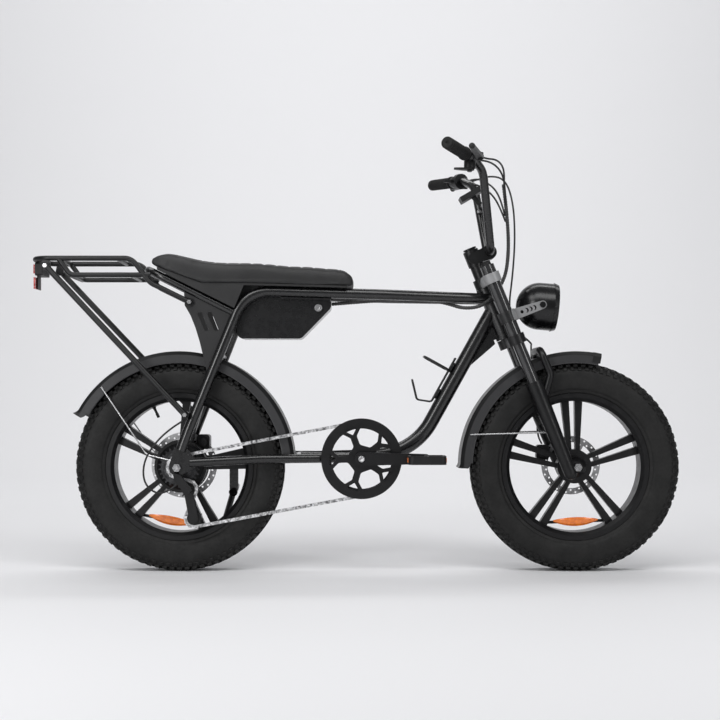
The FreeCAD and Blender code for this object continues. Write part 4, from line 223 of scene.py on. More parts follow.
# finishes: patches of two tones, uneven sheen and a grain, all in the object's own coordinates; some also carry painted
# light: glints on the chain, a highlight band on the fender skirts and a reflection on the crown clamp
finishDefaults = {"patchSpread": (0.32, 0.68), "patchDetail": 3.0, "roughSpread": (0.3, 0.7), "roughDetail": 5.0,
                  "grainDetail": 4.0, "bumpDepth": 0.0004, "bandEdge": 0.0005, "sockets": {}}
fenderSkin = {
    "dark": (0.005, 0.005, 0.0055), "light": (0.009, 0.009, 0.0095), "patchScale": 12, "rough": (0.32, 0.44),
    "roughScale": 60, "grainScale": 1200, "bump": 0.08, "sockets": {"Specular IOR Level": 0.4}}
# the fender's skirt inside this radius is painted a paler grey: a painted highlight where the skirt faces the light
fenderSkirtPaintedHighlight = {"radius": 0.299, "tone": (0.030, 0.030, 0.0315)}
finishes = {
    "framePaint": {
        "dark": (0.0025, 0.0025, 0.003), "light": (0.0045, 0.0045, 0.005), "patchScale": 9, "rough": (0.24, 0.32),
        "roughScale": 60, "grainScale": 900, "bump": 0.06, "sockets": {"Coat Weight": 0.4, "Coat Roughness": 0.14}},
    "satinBlack": {
        "dark": (0.003, 0.003, 0.0035), "light": (0.006, 0.006, 0.0065), "patchScale": 14, "rough": (0.30, 0.40),
        "roughScale": 90, "grainScale": 1400, "bump": 0.10, "sockets": {"Specular IOR Level": 0.4}},
    "castBlack": {
        "dark": (0.0025, 0.0025, 0.003), "light": (0.005, 0.005, 0.0055), "patchScale": 20, "rough": (0.30, 0.42),
        "roughScale": 70, "grainScale": 650, "bump": 0.16, "sockets": {"Specular IOR Level": 0.35}},
    "greyPlate": {
        "dark": (0.012, 0.012, 0.0125), "light": (0.018, 0.018, 0.019), "patchScale": 12, "rough": (0.40, 0.52),
        "roughScale": 80, "grainScale": 1100, "bump": 0.10, "sockets": {"Specular IOR Level": 0.4}},
    "tyreRubber": {
        "dark": (0.005, 0.005, 0.005), "light": (0.011, 0.0108, 0.0105), "patchScale": 26, "rough": (0.52, 0.70),
        "roughScale": 120, "grainScale": 900, "bump": 0.30, "sockets": {"Specular IOR Level": 0.3}},
    "gripRubber": {
        "dark": (0.007, 0.007, 0.007), "light": (0.013, 0.013, 0.013), "patchScale": 60, "rough": (0.62, 0.78),
        "roughScale": 200, "grainScale": 1800, "bump": 0.35, "sockets": {"Specular IOR Level": 0.3}},
    "brightSteel": {
        "dark": (0.42, 0.42, 0.425), "light": (0.62, 0.62, 0.63), "patchScale": 80, "rough": (0.20, 0.36),
        "roughScale": 300, "grainScale": 1500, "bump": 0.08, "sockets": {"Metallic": 1.0}},
    "brushedDisc": {
        "dark": (0.34, 0.34, 0.345), "light": (0.52, 0.52, 0.53), "patchScale": 40, "rough": (0.28, 0.42),
        "roughScale": 400, "grainScale": 900, "bump": 0.12, "sockets": {"Metallic": 1.0, "Anisotropic": 0.4}},
    "chainSteelWithPaintedGlints": {
        # dark steel tone, and the bright patches are painted glints on the links
        "dark": (0.10, 0.10, 0.105), "light": (0.92, 0.92, 0.93), "patchScale": 150, "rough": (0.30, 0.48),
        "roughScale": 240, "grainScale": 1600, "bump": 0.10, "sockets": {"Metallic": 0.8}},
    "darkSteel": {
        "dark": (0.035, 0.035, 0.036), "light": (0.085, 0.085, 0.088), "patchScale": 90, "rough": (0.24, 0.42),
        "roughScale": 260, "grainScale": 1400, "bump": 0.10, "sockets": {"Metallic": 1.0}},
    "dullAlloy": {
        "dark": (0.24, 0.24, 0.245), "light": (0.34, 0.34, 0.345), "patchScale": 50, "rough": (0.30, 0.44),
        "roughScale": 200, "grainScale": 1200, "bump": 0.10, "sockets": {"Metallic": 0.9}},
    "crownClampPaintedReflection": {
        "dark": (0.004, 0.004, 0.0045), "light": (0.008, 0.008, 0.0085), "patchScale": 70, "rough": (0.34, 0.46),
        "roughScale": 260, "grainScale": 1300, "bump": 0.12, "sockets": {"Metallic": 0.2},
        # black crown with a pale grey disc over the clamp face: a painted reflection
        "band": {"centre": (0.360, 0, 0.777), "radius": 0.028, "tone": (0.27, 0.27, 0.275)}},
    "lampBracket": {
        "dark": (0.012, 0.012, 0.0125), "light": (0.020, 0.020, 0.0205), "patchScale": 50, "rough": (0.28, 0.40),
        "roughScale": 200, "grainScale": 1200, "bump": 0.10, "sockets": {"Metallic": 0.3},
        "band": {"centre": lampCentre, "radius": 0.088, "tone": (0.27, 0.27, 0.275)}},
    "darkAnodised": {
        "dark": (0.014, 0.014, 0.015), "light": (0.024, 0.024, 0.025), "patchScale": 30, "rough": (0.10, 0.16),
        "roughScale": 120, "grainScale": 1500, "bump": 0.03, "sockets": {"Coat Weight": 0.6, "Coat Roughness": 0.06}},
    "mouldedPlastic": {
        "dark": (0.005, 0.005, 0.0055), "light": (0.010, 0.010, 0.0105), "patchScale": 24, "rough": (0.42, 0.56),
        "roughScale": 140, "grainScale": 2200, "bump": 0.22, "sockets": {"Specular IOR Level": 0.35}},
    "lampEnamel": {
        "dark": (0.003, 0.003, 0.0035), "light": (0.005, 0.005, 0.0055), "patchScale": 10, "rough": (0.22, 0.30),
        "roughScale": 40, "grainScale": 500, "bump": 0.03, "sockets": {"Specular IOR Level": 0.45}},
    # both fender materials carry the painted highlight band on the skirt, also on the lips and beads
    "frontFenderPaintedHighlight": {**fenderSkin, "band": {**fenderSkirtPaintedHighlight, "centre": frontAxle}},
    "rearFenderPaintedHighlight": {**fenderSkin, "band": {**fenderSkirtPaintedHighlight, "centre": rearAxle}},
    "benchVinyl": {
        "dark": (0.010, 0.010, 0.0105), "light": (0.016, 0.016, 0.0165), "patchScale": 18, "rough": (0.44, 0.56),
        "roughScale": 90, "cells": "F1", "grainScale": 420, "bump": 0.22, "bumpDepth": 0.0005,
        "sockets": {"Specular IOR Level": 0.4, "Sheen Weight": 0.03}},
    "amberReflector": {
        "dark": (0.70, 0.14, 0.008), "light": (0.95, 0.24, 0.015), "patchScale": 120, "rough": (0.12, 0.26),
        "roughScale": 300, "cells": "DISTANCE_TO_EDGE", "grainScale": 300, "bump": 0.6, "bumpDepth": 0.0008,
        "sockets": {"Coat Weight": 1.0, "Coat Roughness": 0.04}},
    "redLens": {
        "dark": (0.26, 0.006, 0.006), "light": (0.46, 0.012, 0.010), "patchScale": 90, "rough": (0.10, 0.22),
        "roughScale": 200, "cells": "DISTANCE_TO_EDGE", "grainScale": 260, "bump": 0.5, "bumpDepth": 0.0008,
        "sockets": {"Coat Weight": 1.0, "Coat Roughness": 0.04}},
    "mirrorBowl": {
        "dark": (0.80, 0.80, 0.81), "light": (0.88, 0.88, 0.89), "patchScale": 30, "rough": (0.05, 0.12),
        "roughScale": 90, "grainScale": 200, "bump": 0.04, "sockets": {"Metallic": 1.0}},
    "lampGlass": {
        "dark": (0.86, 0.88, 0.90), "light": (0.95, 0.96, 0.97), "patchScale": 20, "rough": (0.02, 0.06),
        "roughScale": 60, "grainScale": 140, "bump": 0.10, "sockets": {"Transmission Weight": 1.0, "IOR": 1.5}},
    "lampBlock": {
        "dark": (0.80, 0.78, 0.62), "light": (0.90, 0.88, 0.74), "patchScale": 60, "rough": (0.2, 0.3),
        "roughScale": 90, "grainScale": 400, "bump": 0.05},
    "screenGlass": {
        "dark": (0.010, 0.012, 0.014), "light": (0.014, 0.016, 0.018), "patchScale": 30, "rough": (0.06, 0.12),
        "roughScale": 60, "grainScale": 300, "bump": 0.02, "sockets": {"Coat Weight": 1.0, "Coat Roughness": 0.03}},
    "wrapSleeve": {
        "dark": (0.003, 0.003, 0.003), "light": (0.045, 0.045, 0.045), "patchScale": 330, "rough": (0.36, 0.50),
        "roughScale": 260, "grainScale": 900, "bump": 0.30},
    "cableSleeve": {
        "dark": (0.004, 0.004, 0.004), "light": (0.009, 0.009, 0.009), "patchScale": 70, "rough": (0.40, 0.56),
        "roughScale": 260, "grainScale": 1600, "bump": 0.20},
}


# a paler tone inside a radius round an axis that runs across the bike: a painted highlight on the fender skirts, a
# painted reflection on the crown clamp, and the arm's own pale grey on the lamp bracket
def toneBand(tree, place, colour, band, edge):
    flat = addNode(tree, "ShaderNodeVectorMath", {0: place, 1: (1, 0, 1)}, operation="MULTIPLY")
    reach = addNode(tree, "ShaderNodeVectorMath", {0: flat.outputs["Vector"], 1: band["centre"]}, operation="DISTANCE")
    outside = addNode(tree, "ShaderNodeMapRange", {
        "Value": reach.outputs["Value"], "From Min": band["radius"] - edge, "From Max": band["radius"] + edge})
    mix = addNode(tree, "ShaderNodeMix", {
        "Factor": outside.outputs["Result"], "A": (*band["tone"], 1), "B": colour}, data_type="RGBA")
    return mix.outputs["Result"]


def finish(name, settings):
    settings = {**finishDefaults, **settings}
    material = bpy.data.materials.new(name)
    material.use_nodes = True
    tree = material.node_tree
    place = tree.nodes.new("ShaderNodeTexCoord").outputs["Object"]

    def noise(scale, detail):
        return addNode(tree, "ShaderNodeTexNoise", {"Vector": place, "Scale": scale, "Detail": detail}).outputs["Fac"]

    ramp = addNode(tree, "ShaderNodeValToRGB", {"Fac": noise(settings["patchScale"], settings["patchDetail"])})
    stops = zip(ramp.color_ramp.elements, settings["patchSpread"], (settings["dark"], settings["light"]))
    for stop, position, tone in stops:
        stop.position = position
        stop.color = (*tone, 1)
    colour = ramp.outputs["Color"]
    if "band" in settings:
        colour = toneBand(tree, place, colour, settings["band"], settings["bandEdge"])
    rough = addNode(tree, "ShaderNodeMapRange", {
        "Value": noise(settings["roughScale"], settings["roughDetail"]),
        "From Min": settings["roughSpread"][0], "From Max": settings["roughSpread"][1],
        "To Min": settings["rough"][0], "To Max": settings["rough"][1]})
    if "cells" in settings:
        cells = addNode(tree, "ShaderNodeTexVoronoi", {"Vector": place, "Scale": settings["grainScale"]},
                        feature=settings["cells"])
        grain = cells.outputs["Distance"]
    else:
        grain = noise(settings["grainScale"], settings["grainDetail"])
    bump = addNode(tree, "ShaderNodeBump", {
        "Strength": settings["bump"], "Distance": settings["bumpDepth"], "Height": grain})
    setSockets(tree, tree.nodes["Principled BSDF"], {
        **settings["sockets"], "Base Color": colour, "Roughness": rough.outputs["Result"],
        "Normal": bump.outputs["Normal"]})
    return material


looks = {name: finish(name, settings) for name, settings in finishes.items()}

nodeLooks = {
    "framePaint": ["head_tube", "down_tube", "frame_rail_right", "frame_rail_left", "seat_loop", "chainstays",
                   "battery_case", "handlebar"],
    "greyPlate": ["gusset_plates"],
    "satinBlack": ["rear_rack", "bottle_cage", "rear_caliper", "front_caliper", "derailleur_body", "derailleur_cage",
                   "lower_crown", "stem", "lever_mounts", "crank_arms", "chainring", "brake_lever_right",
                   "brake_lever_left", "kickstand_leg"],
    "crownClampPaintedReflection": ["upper_crown"],
    "castBlack": ["front_rim", "rear_rim", "hub_motor", "fork_lowers"],
    "frontFenderPaintedHighlight": ["front_fender"],
    "rearFenderPaintedHighlight": ["rear_fender"],
    "mouldedPlastic": ["tail_light", "display", "pedal_right", "pedal_left", "guide_pulley", "tension_pulley",
                       "shift_lever", "throttle", "preload_knob"],
    "gripRubber": ["grips"],
    "brightSteel": ["rear_axle", "front_axle", "frame_bolts", "rear_fender_stays", "front_fender_stay"],
    "darkSteel": ["freewheel"],
    "brushedDisc": ["front_rotor", "rear_rotor"],
    "chainSteelWithPaintedGlints": ["chain"],
    "lampBracket": ["headlight_arms"],
    "darkAnodised": ["stanchions"],
    "lampEnamel": ["headlight_shell"],
    "lampGlass": ["headlight_lens"],
    "redLens": ["tail_lenses"],
    "tyreRubber": ["front_tyre", "rear_tyre"],
    "benchVinyl": ["seat_pad", "seat_base"],
    "cableSleeve": ["control_cables", "front_brake_cable"],
}
for look, names in nodeLooks.items():
    for name in names:
        nodes[name].data.materials.clear()
        nodes[name].data.materials.append(looks[look])
print("finishes on the solids")


# tyres: a casing turned from one outline, with blocks of tread set on it; lengths in mm
tyreSettings = {
    "turns": 192,
    "casing": [(35.7, 190.4), (35.7, 197.5), (38.6, 198.6), (39.6, 200.6), (41.6, 205.0), (42.2, 207.0), (42.7, 207.2),
               (44.8, 213.0), (46.8, 220.5), (48.2, 228.5), (48.8, 237.0), (48.6, 245.5), (47.6, 252.0), (45.6, 258.5),
               (42.6, 264.0), (38.6, 268.0), (33.0, 271.0), (26.0, 273.2), (14.0, 274.0), (0.0, 274.0)],
    "rows": [
        {"side": 7.6, "foot": 273.6, "lean": 0, "halfAlong": 8.6, "halfAcross": 5.6, "height": 6.2,
         "blocks": 72, "start": 0.0},
        {"side": 21.0, "foot": 273.4, "lean": 3, "halfAlong": 7.6, "halfAcross": 5.4, "height": 6.2,
         "blocks": 72, "start": 0.5},
        {"side": 34.2, "foot": 270.0, "lean": 20, "halfAlong": 6.6, "halfAcross": 5.2, "height": 6.0,
         "blocks": 84, "start": 0.0},
        {"side": 43.6, "foot": 261.6, "lean": 62, "halfAlong": 5.4, "halfAcross": 5.2, "height": 3.6,
         "blocks": 84, "start": 0.5},
    ],
    "sink": 1.0,  # how far a block's foot stands in the casing
    "shoulder": 0.82,  # share of the height where the edge breaks
    "taper": 0.78,  # size of a block's top against its foot
}
blockCorners = ((-1, -1), (1, -1), (1, 1), (-1, 1))


def treadBlock(points, faces, centre, row, index, mirror, settings):
    lean = math.radians(row["lean"]) * mirror
    outward, along = wheelAxes(2 * math.pi * (index + row["start"]) / row["blocks"])
    normal = outward * math.cos(lean) + sideways * math.sin(lean)
    across = normal.cross(along)
    foot = centre + outward * (row["foot"] * mm) + sideways * (row["side"] * mirror * mm)
    taper = settings["taper"]
    levels = ((-settings["sink"], 1.0), (row["height"] * settings["shoulder"], 0.5 + taper / 2), (row["height"], taper))
    first = len(points)
    for rise, shrink in levels:
        for alongSign, acrossSign in blockCorners:
            points.append(foot + normal * (rise * mm) + along * (alongSign * row["halfAlong"] * shrink * mm)
                          + across * (acrossSign * row["halfAcross"] * shrink * mm))
    faces += shiftFaces(cappedFaces(len(levels), len(blockCorners)), first)


def addTyre(name, centre, body, settings):
    casing = settings["casing"]
    outline = casing + [(-side, radius) for side, radius in reversed(casing[:-1])]
    count = settings["turns"]
    points = []
    for side, radius in outline:
        for step in range(count):
            points.append(wheelPoint(centre, radius * mm, side * mm, 2 * math.pi * step / count))
    faces = ringFaces(len(outline), count, closed=True)
    casingFaces = len(faces)
    for row in settings["rows"]:
        for mirror in (-1, 1):
            for index in range(row["blocks"]):
                treadBlock(points, faces, centre, row, index, mirror, settings)
    piece = meshPiece(name + "Tread", points, faces, looks["tyreRubber"], smooth=False)
    smooth = [index < casingFaces for index in range(len(piece.data.polygons))]
    piece.data.polygons.foreach_set("use_smooth", smooth)
    tidyNormals(piece)
    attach(piece, body)
    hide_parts(name)


addTyre("front_tyre", frontAxle, "front_wheel", tyreSettings)
addTyre("rear_tyre", rearAxle, "rear_wheel", tyreSettings)
print("tyres treaded")


# cables: smooth lines through the routes of the solids
cableSettings = {"loomRadius": 5.0 * mm, "wrapPitch": 7.0 * mm, "wrapCut": 0.8 * mm, "wrapShare": 0.25,
                 "wrapStep": 1.4 * mm, "cableRadius": 2.5 * mm, "cableStep": 4 * mm, "sides": 14,
                 "curveOrder": 3, "curveSteps": 24}
loomRoute = [(-0.0672, -0.024, 0.716), (0.150, -0.012, 0.735), (0.235, -0.012, 0.722), (0.290, -0.034, 0.702),
             (0.345, -0.043, 0.712), (0.396, -0.028, 0.775), (0.410, -0.014, 0.850), (0.407, -0.010, 0.950),
             (0.396, -0.008, 1.040)]
barRoutes = {
    "rightLeverCable": [(0.3081, -0.2264, 1.0814), (0.3258, -0.1906, 1.0785), (0.372, -0.120, 1.088),
                        (0.398, -0.040, 1.068), (0.396, -0.012, 1.030)],
    "rightSwitchWire": [(0.3150, -0.2060, 1.0710), (0.345, -0.150, 1.080), (0.384, -0.075, 1.066),
                        (0.3990, -0.030, 1.030), (0.4010, -0.014, 0.985)],
    "leftSwitchWire": [(0.3120, 0.1960, 1.0800), (0.333, 0.150, 1.082), (0.356, 0.080, 1.062), (0.379, 0.020, 1.030),
                       (0.3940, -0.004, 0.985), (0.4000, -0.008, 0.955)],
    "throttleWire": [(0.3040, 0.1990, 1.0680), (0.324, 0.150, 1.068), (0.350, 0.080, 1.046), (0.374, 0.022, 1.012),
                     (0.3920, -0.002, 0.968), (0.4020, -0.006, 0.940)],
}
brakeRoute = [(0.3081, 0.2264, 1.0814), (0.3258, 0.1906, 1.0785), (0.370, 0.140, 1.088), (0.410, 0.080, 1.070),
              (0.428, 0.040, 1.000), (0.432, 0.030, 0.900), (0.425, 0.026, 0.800), (0.412, 0.024, 0.700),
              (0.440, 0.026, 0.642), (0.478, 0.040, 0.614), (0.482, 0.085, 0.608), (0.486, 0.106, 0.570),
              (0.489, 0.106, 0.500), (0.505, 0.106, 0.420), (0.500, 0.098, 0.380), (0.503, 0.078, 0.350),
              (0.507, 0.052, 0.340)]
shiftRoute = [(-0.454, -0.103, 0.405), (-0.478, -0.106, 0.392), (-0.525, -0.107, 0.352), (-0.560, -0.107, 0.298),
              (-0.560, -0.106, 0.240), (-0.525, -0.104, 0.210), (-0.488, -0.100, 0.222), (-0.470, -0.098, 0.240)]


def smoothLine(route, settings):
    curve = bpy.data.curves.new("routeLine", "CURVE")
    curve.dimensions = "3D"
    spline = curve.splines.new("NURBS")
    spline.points.add(len(route) - 1)
    for point, place in zip(spline.points, route):
        point.co = (*place, 1)
    spline.order_u = settings["curveOrder"]
    spline.use_endpoint_u = True
    spline.resolution_u = settings["curveSteps"]
    holder = bpy.data.objects.new("routeLine", curve)
    mesh = bpy.data.meshes.new_from_object(holder)
    line = [vertex.co.copy() for vertex in mesh.vertices]
    bpy.data.objects.remove(holder)
    bpy.data.meshes.remove(mesh)
    return line


# the same line in steps of one length
def evenLine(line, step):
    lengths = [0.0]
    for before, after in zip(line, line[1:]):
        lengths.append(lengths[-1] + (after - before).length)
    count = max(2, round(lengths[-1] / step))
    even = []
    index = 0
    for number in range(count + 1):
        target = lengths[-1] * number / count
        while index < len(line) - 2 and lengths[index + 1] < target:
            index += 1
        span = lengths[index + 1] - lengths[index]
        share = (target - lengths[index]) / span if span else 0
        even.append(line[index].lerp(line[index + 1], share))
    return even


# a tube along a line, its radius given for each ring
def tubePiece(name, line, radii, material, sides):
    points = []
    for index, place in enumerate(line):
        ahead = (line[min(index + 1, len(line) - 1)] - line[max(index - 1, 0)]).normalized()
        across = upward.cross(ahead) if index == 0 else across - ahead * across.dot(ahead)
        if across.length < 1e-6:  # the line runs straight up
            across = sideways.cross(ahead)
        across = across.normalized()
        other = ahead.cross(across)
        for step in range(sides):
            angle = 2 * math.pi * step / sides
            points.append(place + (across * math.cos(angle) + other * math.sin(angle)) * radii[index])
    return closedPiece(name, points, cappedFaces(len(line), sides), material)


def addCable(name, route, settings):
    line = evenLine(smoothLine(route, settings), settings["cableStep"])
    radii = [settings["cableRadius"]] * len(line)
    piece = tubePiece(name, line, radii, looks["cableSleeve"], settings["sides"])
    return piece


# the loom is thinner where its wrapping leaves a groove
def addLoom(settings):
    line = evenLine(smoothLine(loomRoute, settings), settings["wrapStep"])
    radii = []
    for index in range(len(line)):
        turn = (index * settings["wrapStep"] / settings["wrapPitch"]) % 1
        radii.append(settings["loomRadius"] - (settings["wrapCut"] if turn < settings["wrapShare"] else 0))
    loom = tubePiece("wrappedLoom", line, radii, looks["wrapSleeve"], settings["sides"])
    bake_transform(loom)
    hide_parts("control_cables")


def addCables(settings):
    addLoom(settings)
    for name, route in barRoutes.items():
        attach(addCable(name, route, settings), "steering")
    hose = addCable("frontBrakeHose", brakeRoute, settings)
    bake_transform(hose)
    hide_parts("front_brake_cable")
    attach(addCable("shiftCable", shiftRoute, settings), "frame")


addCables(cableSettings)
print("cables routed")


# bench seat: an even skin on the solid, swollen by its filling, then pressed into cross channels
seatSettings = {"skin": 5 * mm, "stapledBelow": -0.35, "pressure": 4.0, "quality": 5, "frames": 20,
                "mostSwell": 2.5 * mm, "firstChannel": -47.4 * mm, "channelPitch": 33 * mm, "channels": 12,
                "channelHalf": 2.4 * mm, "channelDepth": 1.2 * mm, "channelReach": 70 * mm, "channelFade": 14 * mm,
                "channelFacing": 0.2}


def settleMesh(piece):
    graph = bpy.context.evaluated_depsgraph_get()
    mesh = bpy.data.meshes.new_from_object(piece.evaluated_get(graph))
    piece.modifiers.clear()
    piece.data = mesh


def swellPad(pad, settings):
    vertices = pad.data.vertices
    rest = [vertex.co.copy() for vertex in vertices]
    underside = [vertex.index for vertex in vertices if vertex.normal.z < settings["stapledBelow"]]
    stapled = pad.vertex_groups.new(name="stapled")
    stapled.add(underside, 1.0, "REPLACE")
    cloth = pad.modifiers.new("filling", "CLOTH")
    cloth.settings.use_pressure = True
    cloth.settings.uniform_pressure_force = settings["pressure"]
    cloth.settings.effector_weights.gravity = 0
    cloth.settings.vertex_group_mass = "stapled"
    cloth.settings.quality = settings["quality"]
    cloth.point_cache.frame_start = 1
    cloth.point_cache.frame_end = settings["frames"]
    for number in range(1, settings["frames"] + 1):
        scene.frame_set(number)
    settleMesh(pad)
    scene.frame_set(1)
    for vertex, place in zip(pad.data.vertices, rest):
        shift = vertex.co - place
        if shift.length > settings["mostSwell"]:
            vertex.co = place + shift.normalized() * settings["mostSwell"]


def pressChannels(pad, settings):
    first = settings["firstChannel"]
    pitch = settings["channelPitch"]
    facing = [vertex.normal.z for vertex in pad.data.vertices]
    for vertex, rise in zip(pad.data.vertices, facing):
        number = round((first - vertex.co.x) / pitch)
        if rise < settings["channelFacing"] or not 0 <= number < settings["channels"]:
            continue
        off = (vertex.co.x - first + number * pitch) / settings["channelHalf"]
        fade = (settings["channelReach"] + settings["channelFade"] - abs(vertex.co.y)) / settings["channelFade"]
        vertex.co.z -= settings["channelDepth"] * math.exp(-off * off) * min(1, max(0, fade))


def addBench(settings):
    pad = link(bpy.data.objects.new("benchPad", nodes["seat_pad"].data.copy()))
    remesh = pad.modifiers.new("evenSkin", "REMESH")
    remesh.mode = "VOXEL"
    remesh.voxel_size = settings["skin"]
    settleMesh(pad)
    swellPad(pad, settings)
    pad.modifiers.new("finer", "SUBSURF").levels = 1
    settleMesh(pad)
    pressChannels(pad, settings)
    pad.data.shade_smooth()
    pad.data.materials.clear()
    pad.data.materials.append(looks["benchVinyl"])
    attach(pad, "frame")
    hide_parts("seat_pad")


# cheeks of the cover that close the corner between the seat's foot and the bend of each rail; lengths in mm
cheekSettings = {"inner": 45.3, "outer": 47.7,
                 "outline": [(-340, 785), (-338, 704), (-322, 698), (-306, 703), (-298, 716), (-289, 728),
                             (-279, 737), (-268, 744), (-255, 750), (-241, 753), (-205, 755), (-205, 785)]}


def addCheeks(settings):
    points = []
    faces = []
    for facing in (-1, 1):
        faces += shiftFaces(cappedFaces(2, len(settings["outline"])), len(points))
        for side in (settings["inner"], settings["outer"]):
            points += [Vector((x, side * facing, z)) * mm for x, z in settings["outline"]]
    piece = closedPiece("benchCheeks", points, faces, looks["benchVinyl"], smooth=False)
    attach(piece, "frame")


addBench(seatSettings)
addCheeks(cheekSettings)
print("bench filled")


# a bar with rounded edges, set by its middle, three axes and half sizes
edgeSettings = {"segments": 3, "profile": 0.6}


def blockPiece(name, centre, axes, halves, material, bevel):
    work = bmesh.new()
    bmesh.ops.create_cube(work, size=2)
    turn = Matrix(axes).transposed().to_4x4()
    bmesh.ops.transform(work, matrix=Matrix.Diagonal((*halves, 1)), verts=work.verts)
    bmesh.ops.bevel(work, geom=work.edges[:] + work.verts[:], offset=bevel, affect="EDGES", **edgeSettings)
    bmesh.ops.transform(work, matrix=Matrix.Translation(centre) @ turn, verts=work.verts)
    mesh = bpy.data.meshes.new(name)
    work.to_mesh(mesh)
    work.free()
    mesh.shade_smooth()
    return link(bpy.data.objects.new(name, mesh), material)


# wheel trims: a reflector between two spokes of each wheel, and its valve
wheelTrimSettings = [
    {"wheel": "front_wheel", "name": "front", "centre": frontAxle, "reflectorAngle": -88, "valveAngle": 128},
    {"wheel": "rear_wheel", "name": "rear", "centre": rearAxle, "reflectorAngle": -101, "valveAngle": 115},
]
reflectorSettings = {"orbit": 150 * mm, "halfLength": 60 * mm, "halfWidth": 12 * mm, "halfThick": 4.5 * mm,
                     "stations": 28, "chamfer": 0.55, "tip": 0.18, "sag": 0.06,
                     "spine": (78 * mm, 2.5 * mm, 4 * mm), "spineSide": 5 * mm, "spineEdge": 1.2 * mm}
valveSettings = {"sides": 16, "outline": [(179, 5.5), (174, 5.5), (172, 4.2), (166, 3.6), (158, 3.4), (157, 4.2),
                                          (146, 4.0), (144.5, 3.0)]}


# a plate with chamfered edges, its ends drawn to points
def addReflector(trim, settings):
    outward, along = wheelAxes(math.radians(trim["reflectorAngle"]))
    middle = trim["centre"] + outward * settings["orbit"]
    cut = settings["chamfer"]
    ring = [(-1, -cut), (-1, cut), (-cut, 1), (cut, 1), (1, cut), (1, -cut), (cut, -1), (-cut, -1)]
    points = []
    for step in range(settings["stations"] + 1):
        share = 2 * step / settings["stations"] - 1
        width = settings["halfWidth"] * (settings["tip"] + (1 - settings["tip"]) * (1 - share * share))
        sag = outward * (settings["sag"] * settings["halfLength"] * share * share)
        for across, thick in ring:
            points.append(middle + along * (share * settings["halfLength"]) - sag + outward * (across * width)
                          + sideways * (thick * settings["halfThick"]))
    faces = cappedFaces(settings["stations"] + 1, len(ring))
    plate = closedPiece(trim["name"] + "WheelReflector", points, faces, looks["amberReflector"], smooth=False)
    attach(plate, trim["wheel"])
    spine = blockPiece(trim["name"] + "ReflectorSpine", middle + sideways * settings["spineSide"],
                       (along, sideways, outward), settings["spine"], looks["mouldedPlastic"], settings["spineEdge"])
    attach(spine, trim["wheel"])


def addValve(trim, settings):
    outward = wheelAxes(math.radians(trim["valveAngle"]))[0]
    line = [trim["centre"] + outward * (reach * mm) for reach, radius in settings["outline"]]
    radii = [radius * mm for reach, radius in settings["outline"]]
    piece = tubePiece(trim["name"] + "Valve", line, radii, looks["gripRubber"], settings["sides"])
    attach(piece, trim["wheel"])


for trim in wheelTrimSettings:
    addReflector(trim, reflectorSettings)
    addValve(trim, valveSettings)
print("wheels trimmed")


# fender ends: a flicked lip that carries the fender's own outline on, and a cap over the front tip; lengths in mm
fenderSettings = {"outer": 309.0, "skirt": 283.0, "half": 57.0, "round": 9.0, "skin": 3.0, "stations": 8}
fenderEnds = [
    {"name": "rearFenderLip", "centre": rearAxle, "angle": 150, "turn": 1, "length": 17, "back": 0.6, "flick": 9,
     "grow": 0.0, "body": "frame", "look": "rearFenderPaintedHighlight"},
    {"name": "frontFenderLip", "centre": frontAxle, "angle": 178, "turn": 1, "length": 14, "back": 0.6, "flick": 5,
     "grow": 0.0, "body": "fork_lower", "look": "frontFenderPaintedHighlight"},
    {"name": "frontFenderTip", "centre": frontAxle, "angle": 78, "turn": -1, "length": 4, "back": 18, "flick": 0,
     "grow": 0.9, "body": "fork_lower", "look": "mouldedPlastic"},
]


def fenderOutline(settings, grow):
    bend = settings["outer"] - settings["round"]
    crown = settings["half"] - settings["round"]
    inside = settings["half"] - settings["skin"]
    skirt = settings["skirt"] - grow
    outer = [(skirt, settings["half"] + grow), (bend, settings["half"] + grow), (settings["outer"] + grow, crown)]
    inner = [(skirt, inside), (bend, inside), (settings["outer"] - settings["skin"], crown)]
    farOuter = [(radius, -side) for radius, side in reversed(outer)]
    farInner = [(radius, -side) for radius, side in inner]
    return outer + farOuter + farInner + inner[::-1]


def addFenderEnd(end, settings):
    outward, around = wheelAxes(math.radians(end["angle"]))
    onward = around * end["turn"]
    outline = fenderOutline(settings, end["grow"])
    count = len(outline)
    back = end["back"]
    points = []
    for step in range(settings["stations"] + 1):
        run = (end["length"] + back) * (step / settings["stations"]) - back
        bend = run * run / (2 * settings["outer"]) if run < 0 else -end["flick"] * (run / end["length"]) ** 2
        for radius, side in outline:
            points.append(end["centre"] + outward * ((radius - bend) * mm) + onward * (run * mm)
                          + sideways * (side * mm))
    faces = ringFaces(settings["stations"] + 1, count)
    for first in (0, settings["stations"] * count):  # close the skin's edge at both ends
        for index in range(count // 2 - 1):
            faces.append((first + index, first + index + 1, first + count - 2 - index, first + count - 1 - index))
    piece = closedPiece(end["name"], points, faces, looks[end["look"]], smooth=False)
    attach(piece, end["body"])


# a rolled edge under both skirts of each fender
beadSettings = {"stations": 72, "outline": [(283.0, 57.0), (279.0, 57.0), (276.9, 56.4), (276.4, 55.5), (276.9, 54.6),
                                            (279.0, 54.0), (283.0, 54.0)]}
fenderBeads = [
    {"name": "rearFenderBead", "centre": rearAxle, "span": (2, 150), "body": "frame", "look": "rearFenderPaintedHighlight"},
    {"name": "frontFenderBead", "centre": frontAxle, "span": (78, 178), "body": "fork_lower",
     "look": "frontFenderPaintedHighlight"},
]


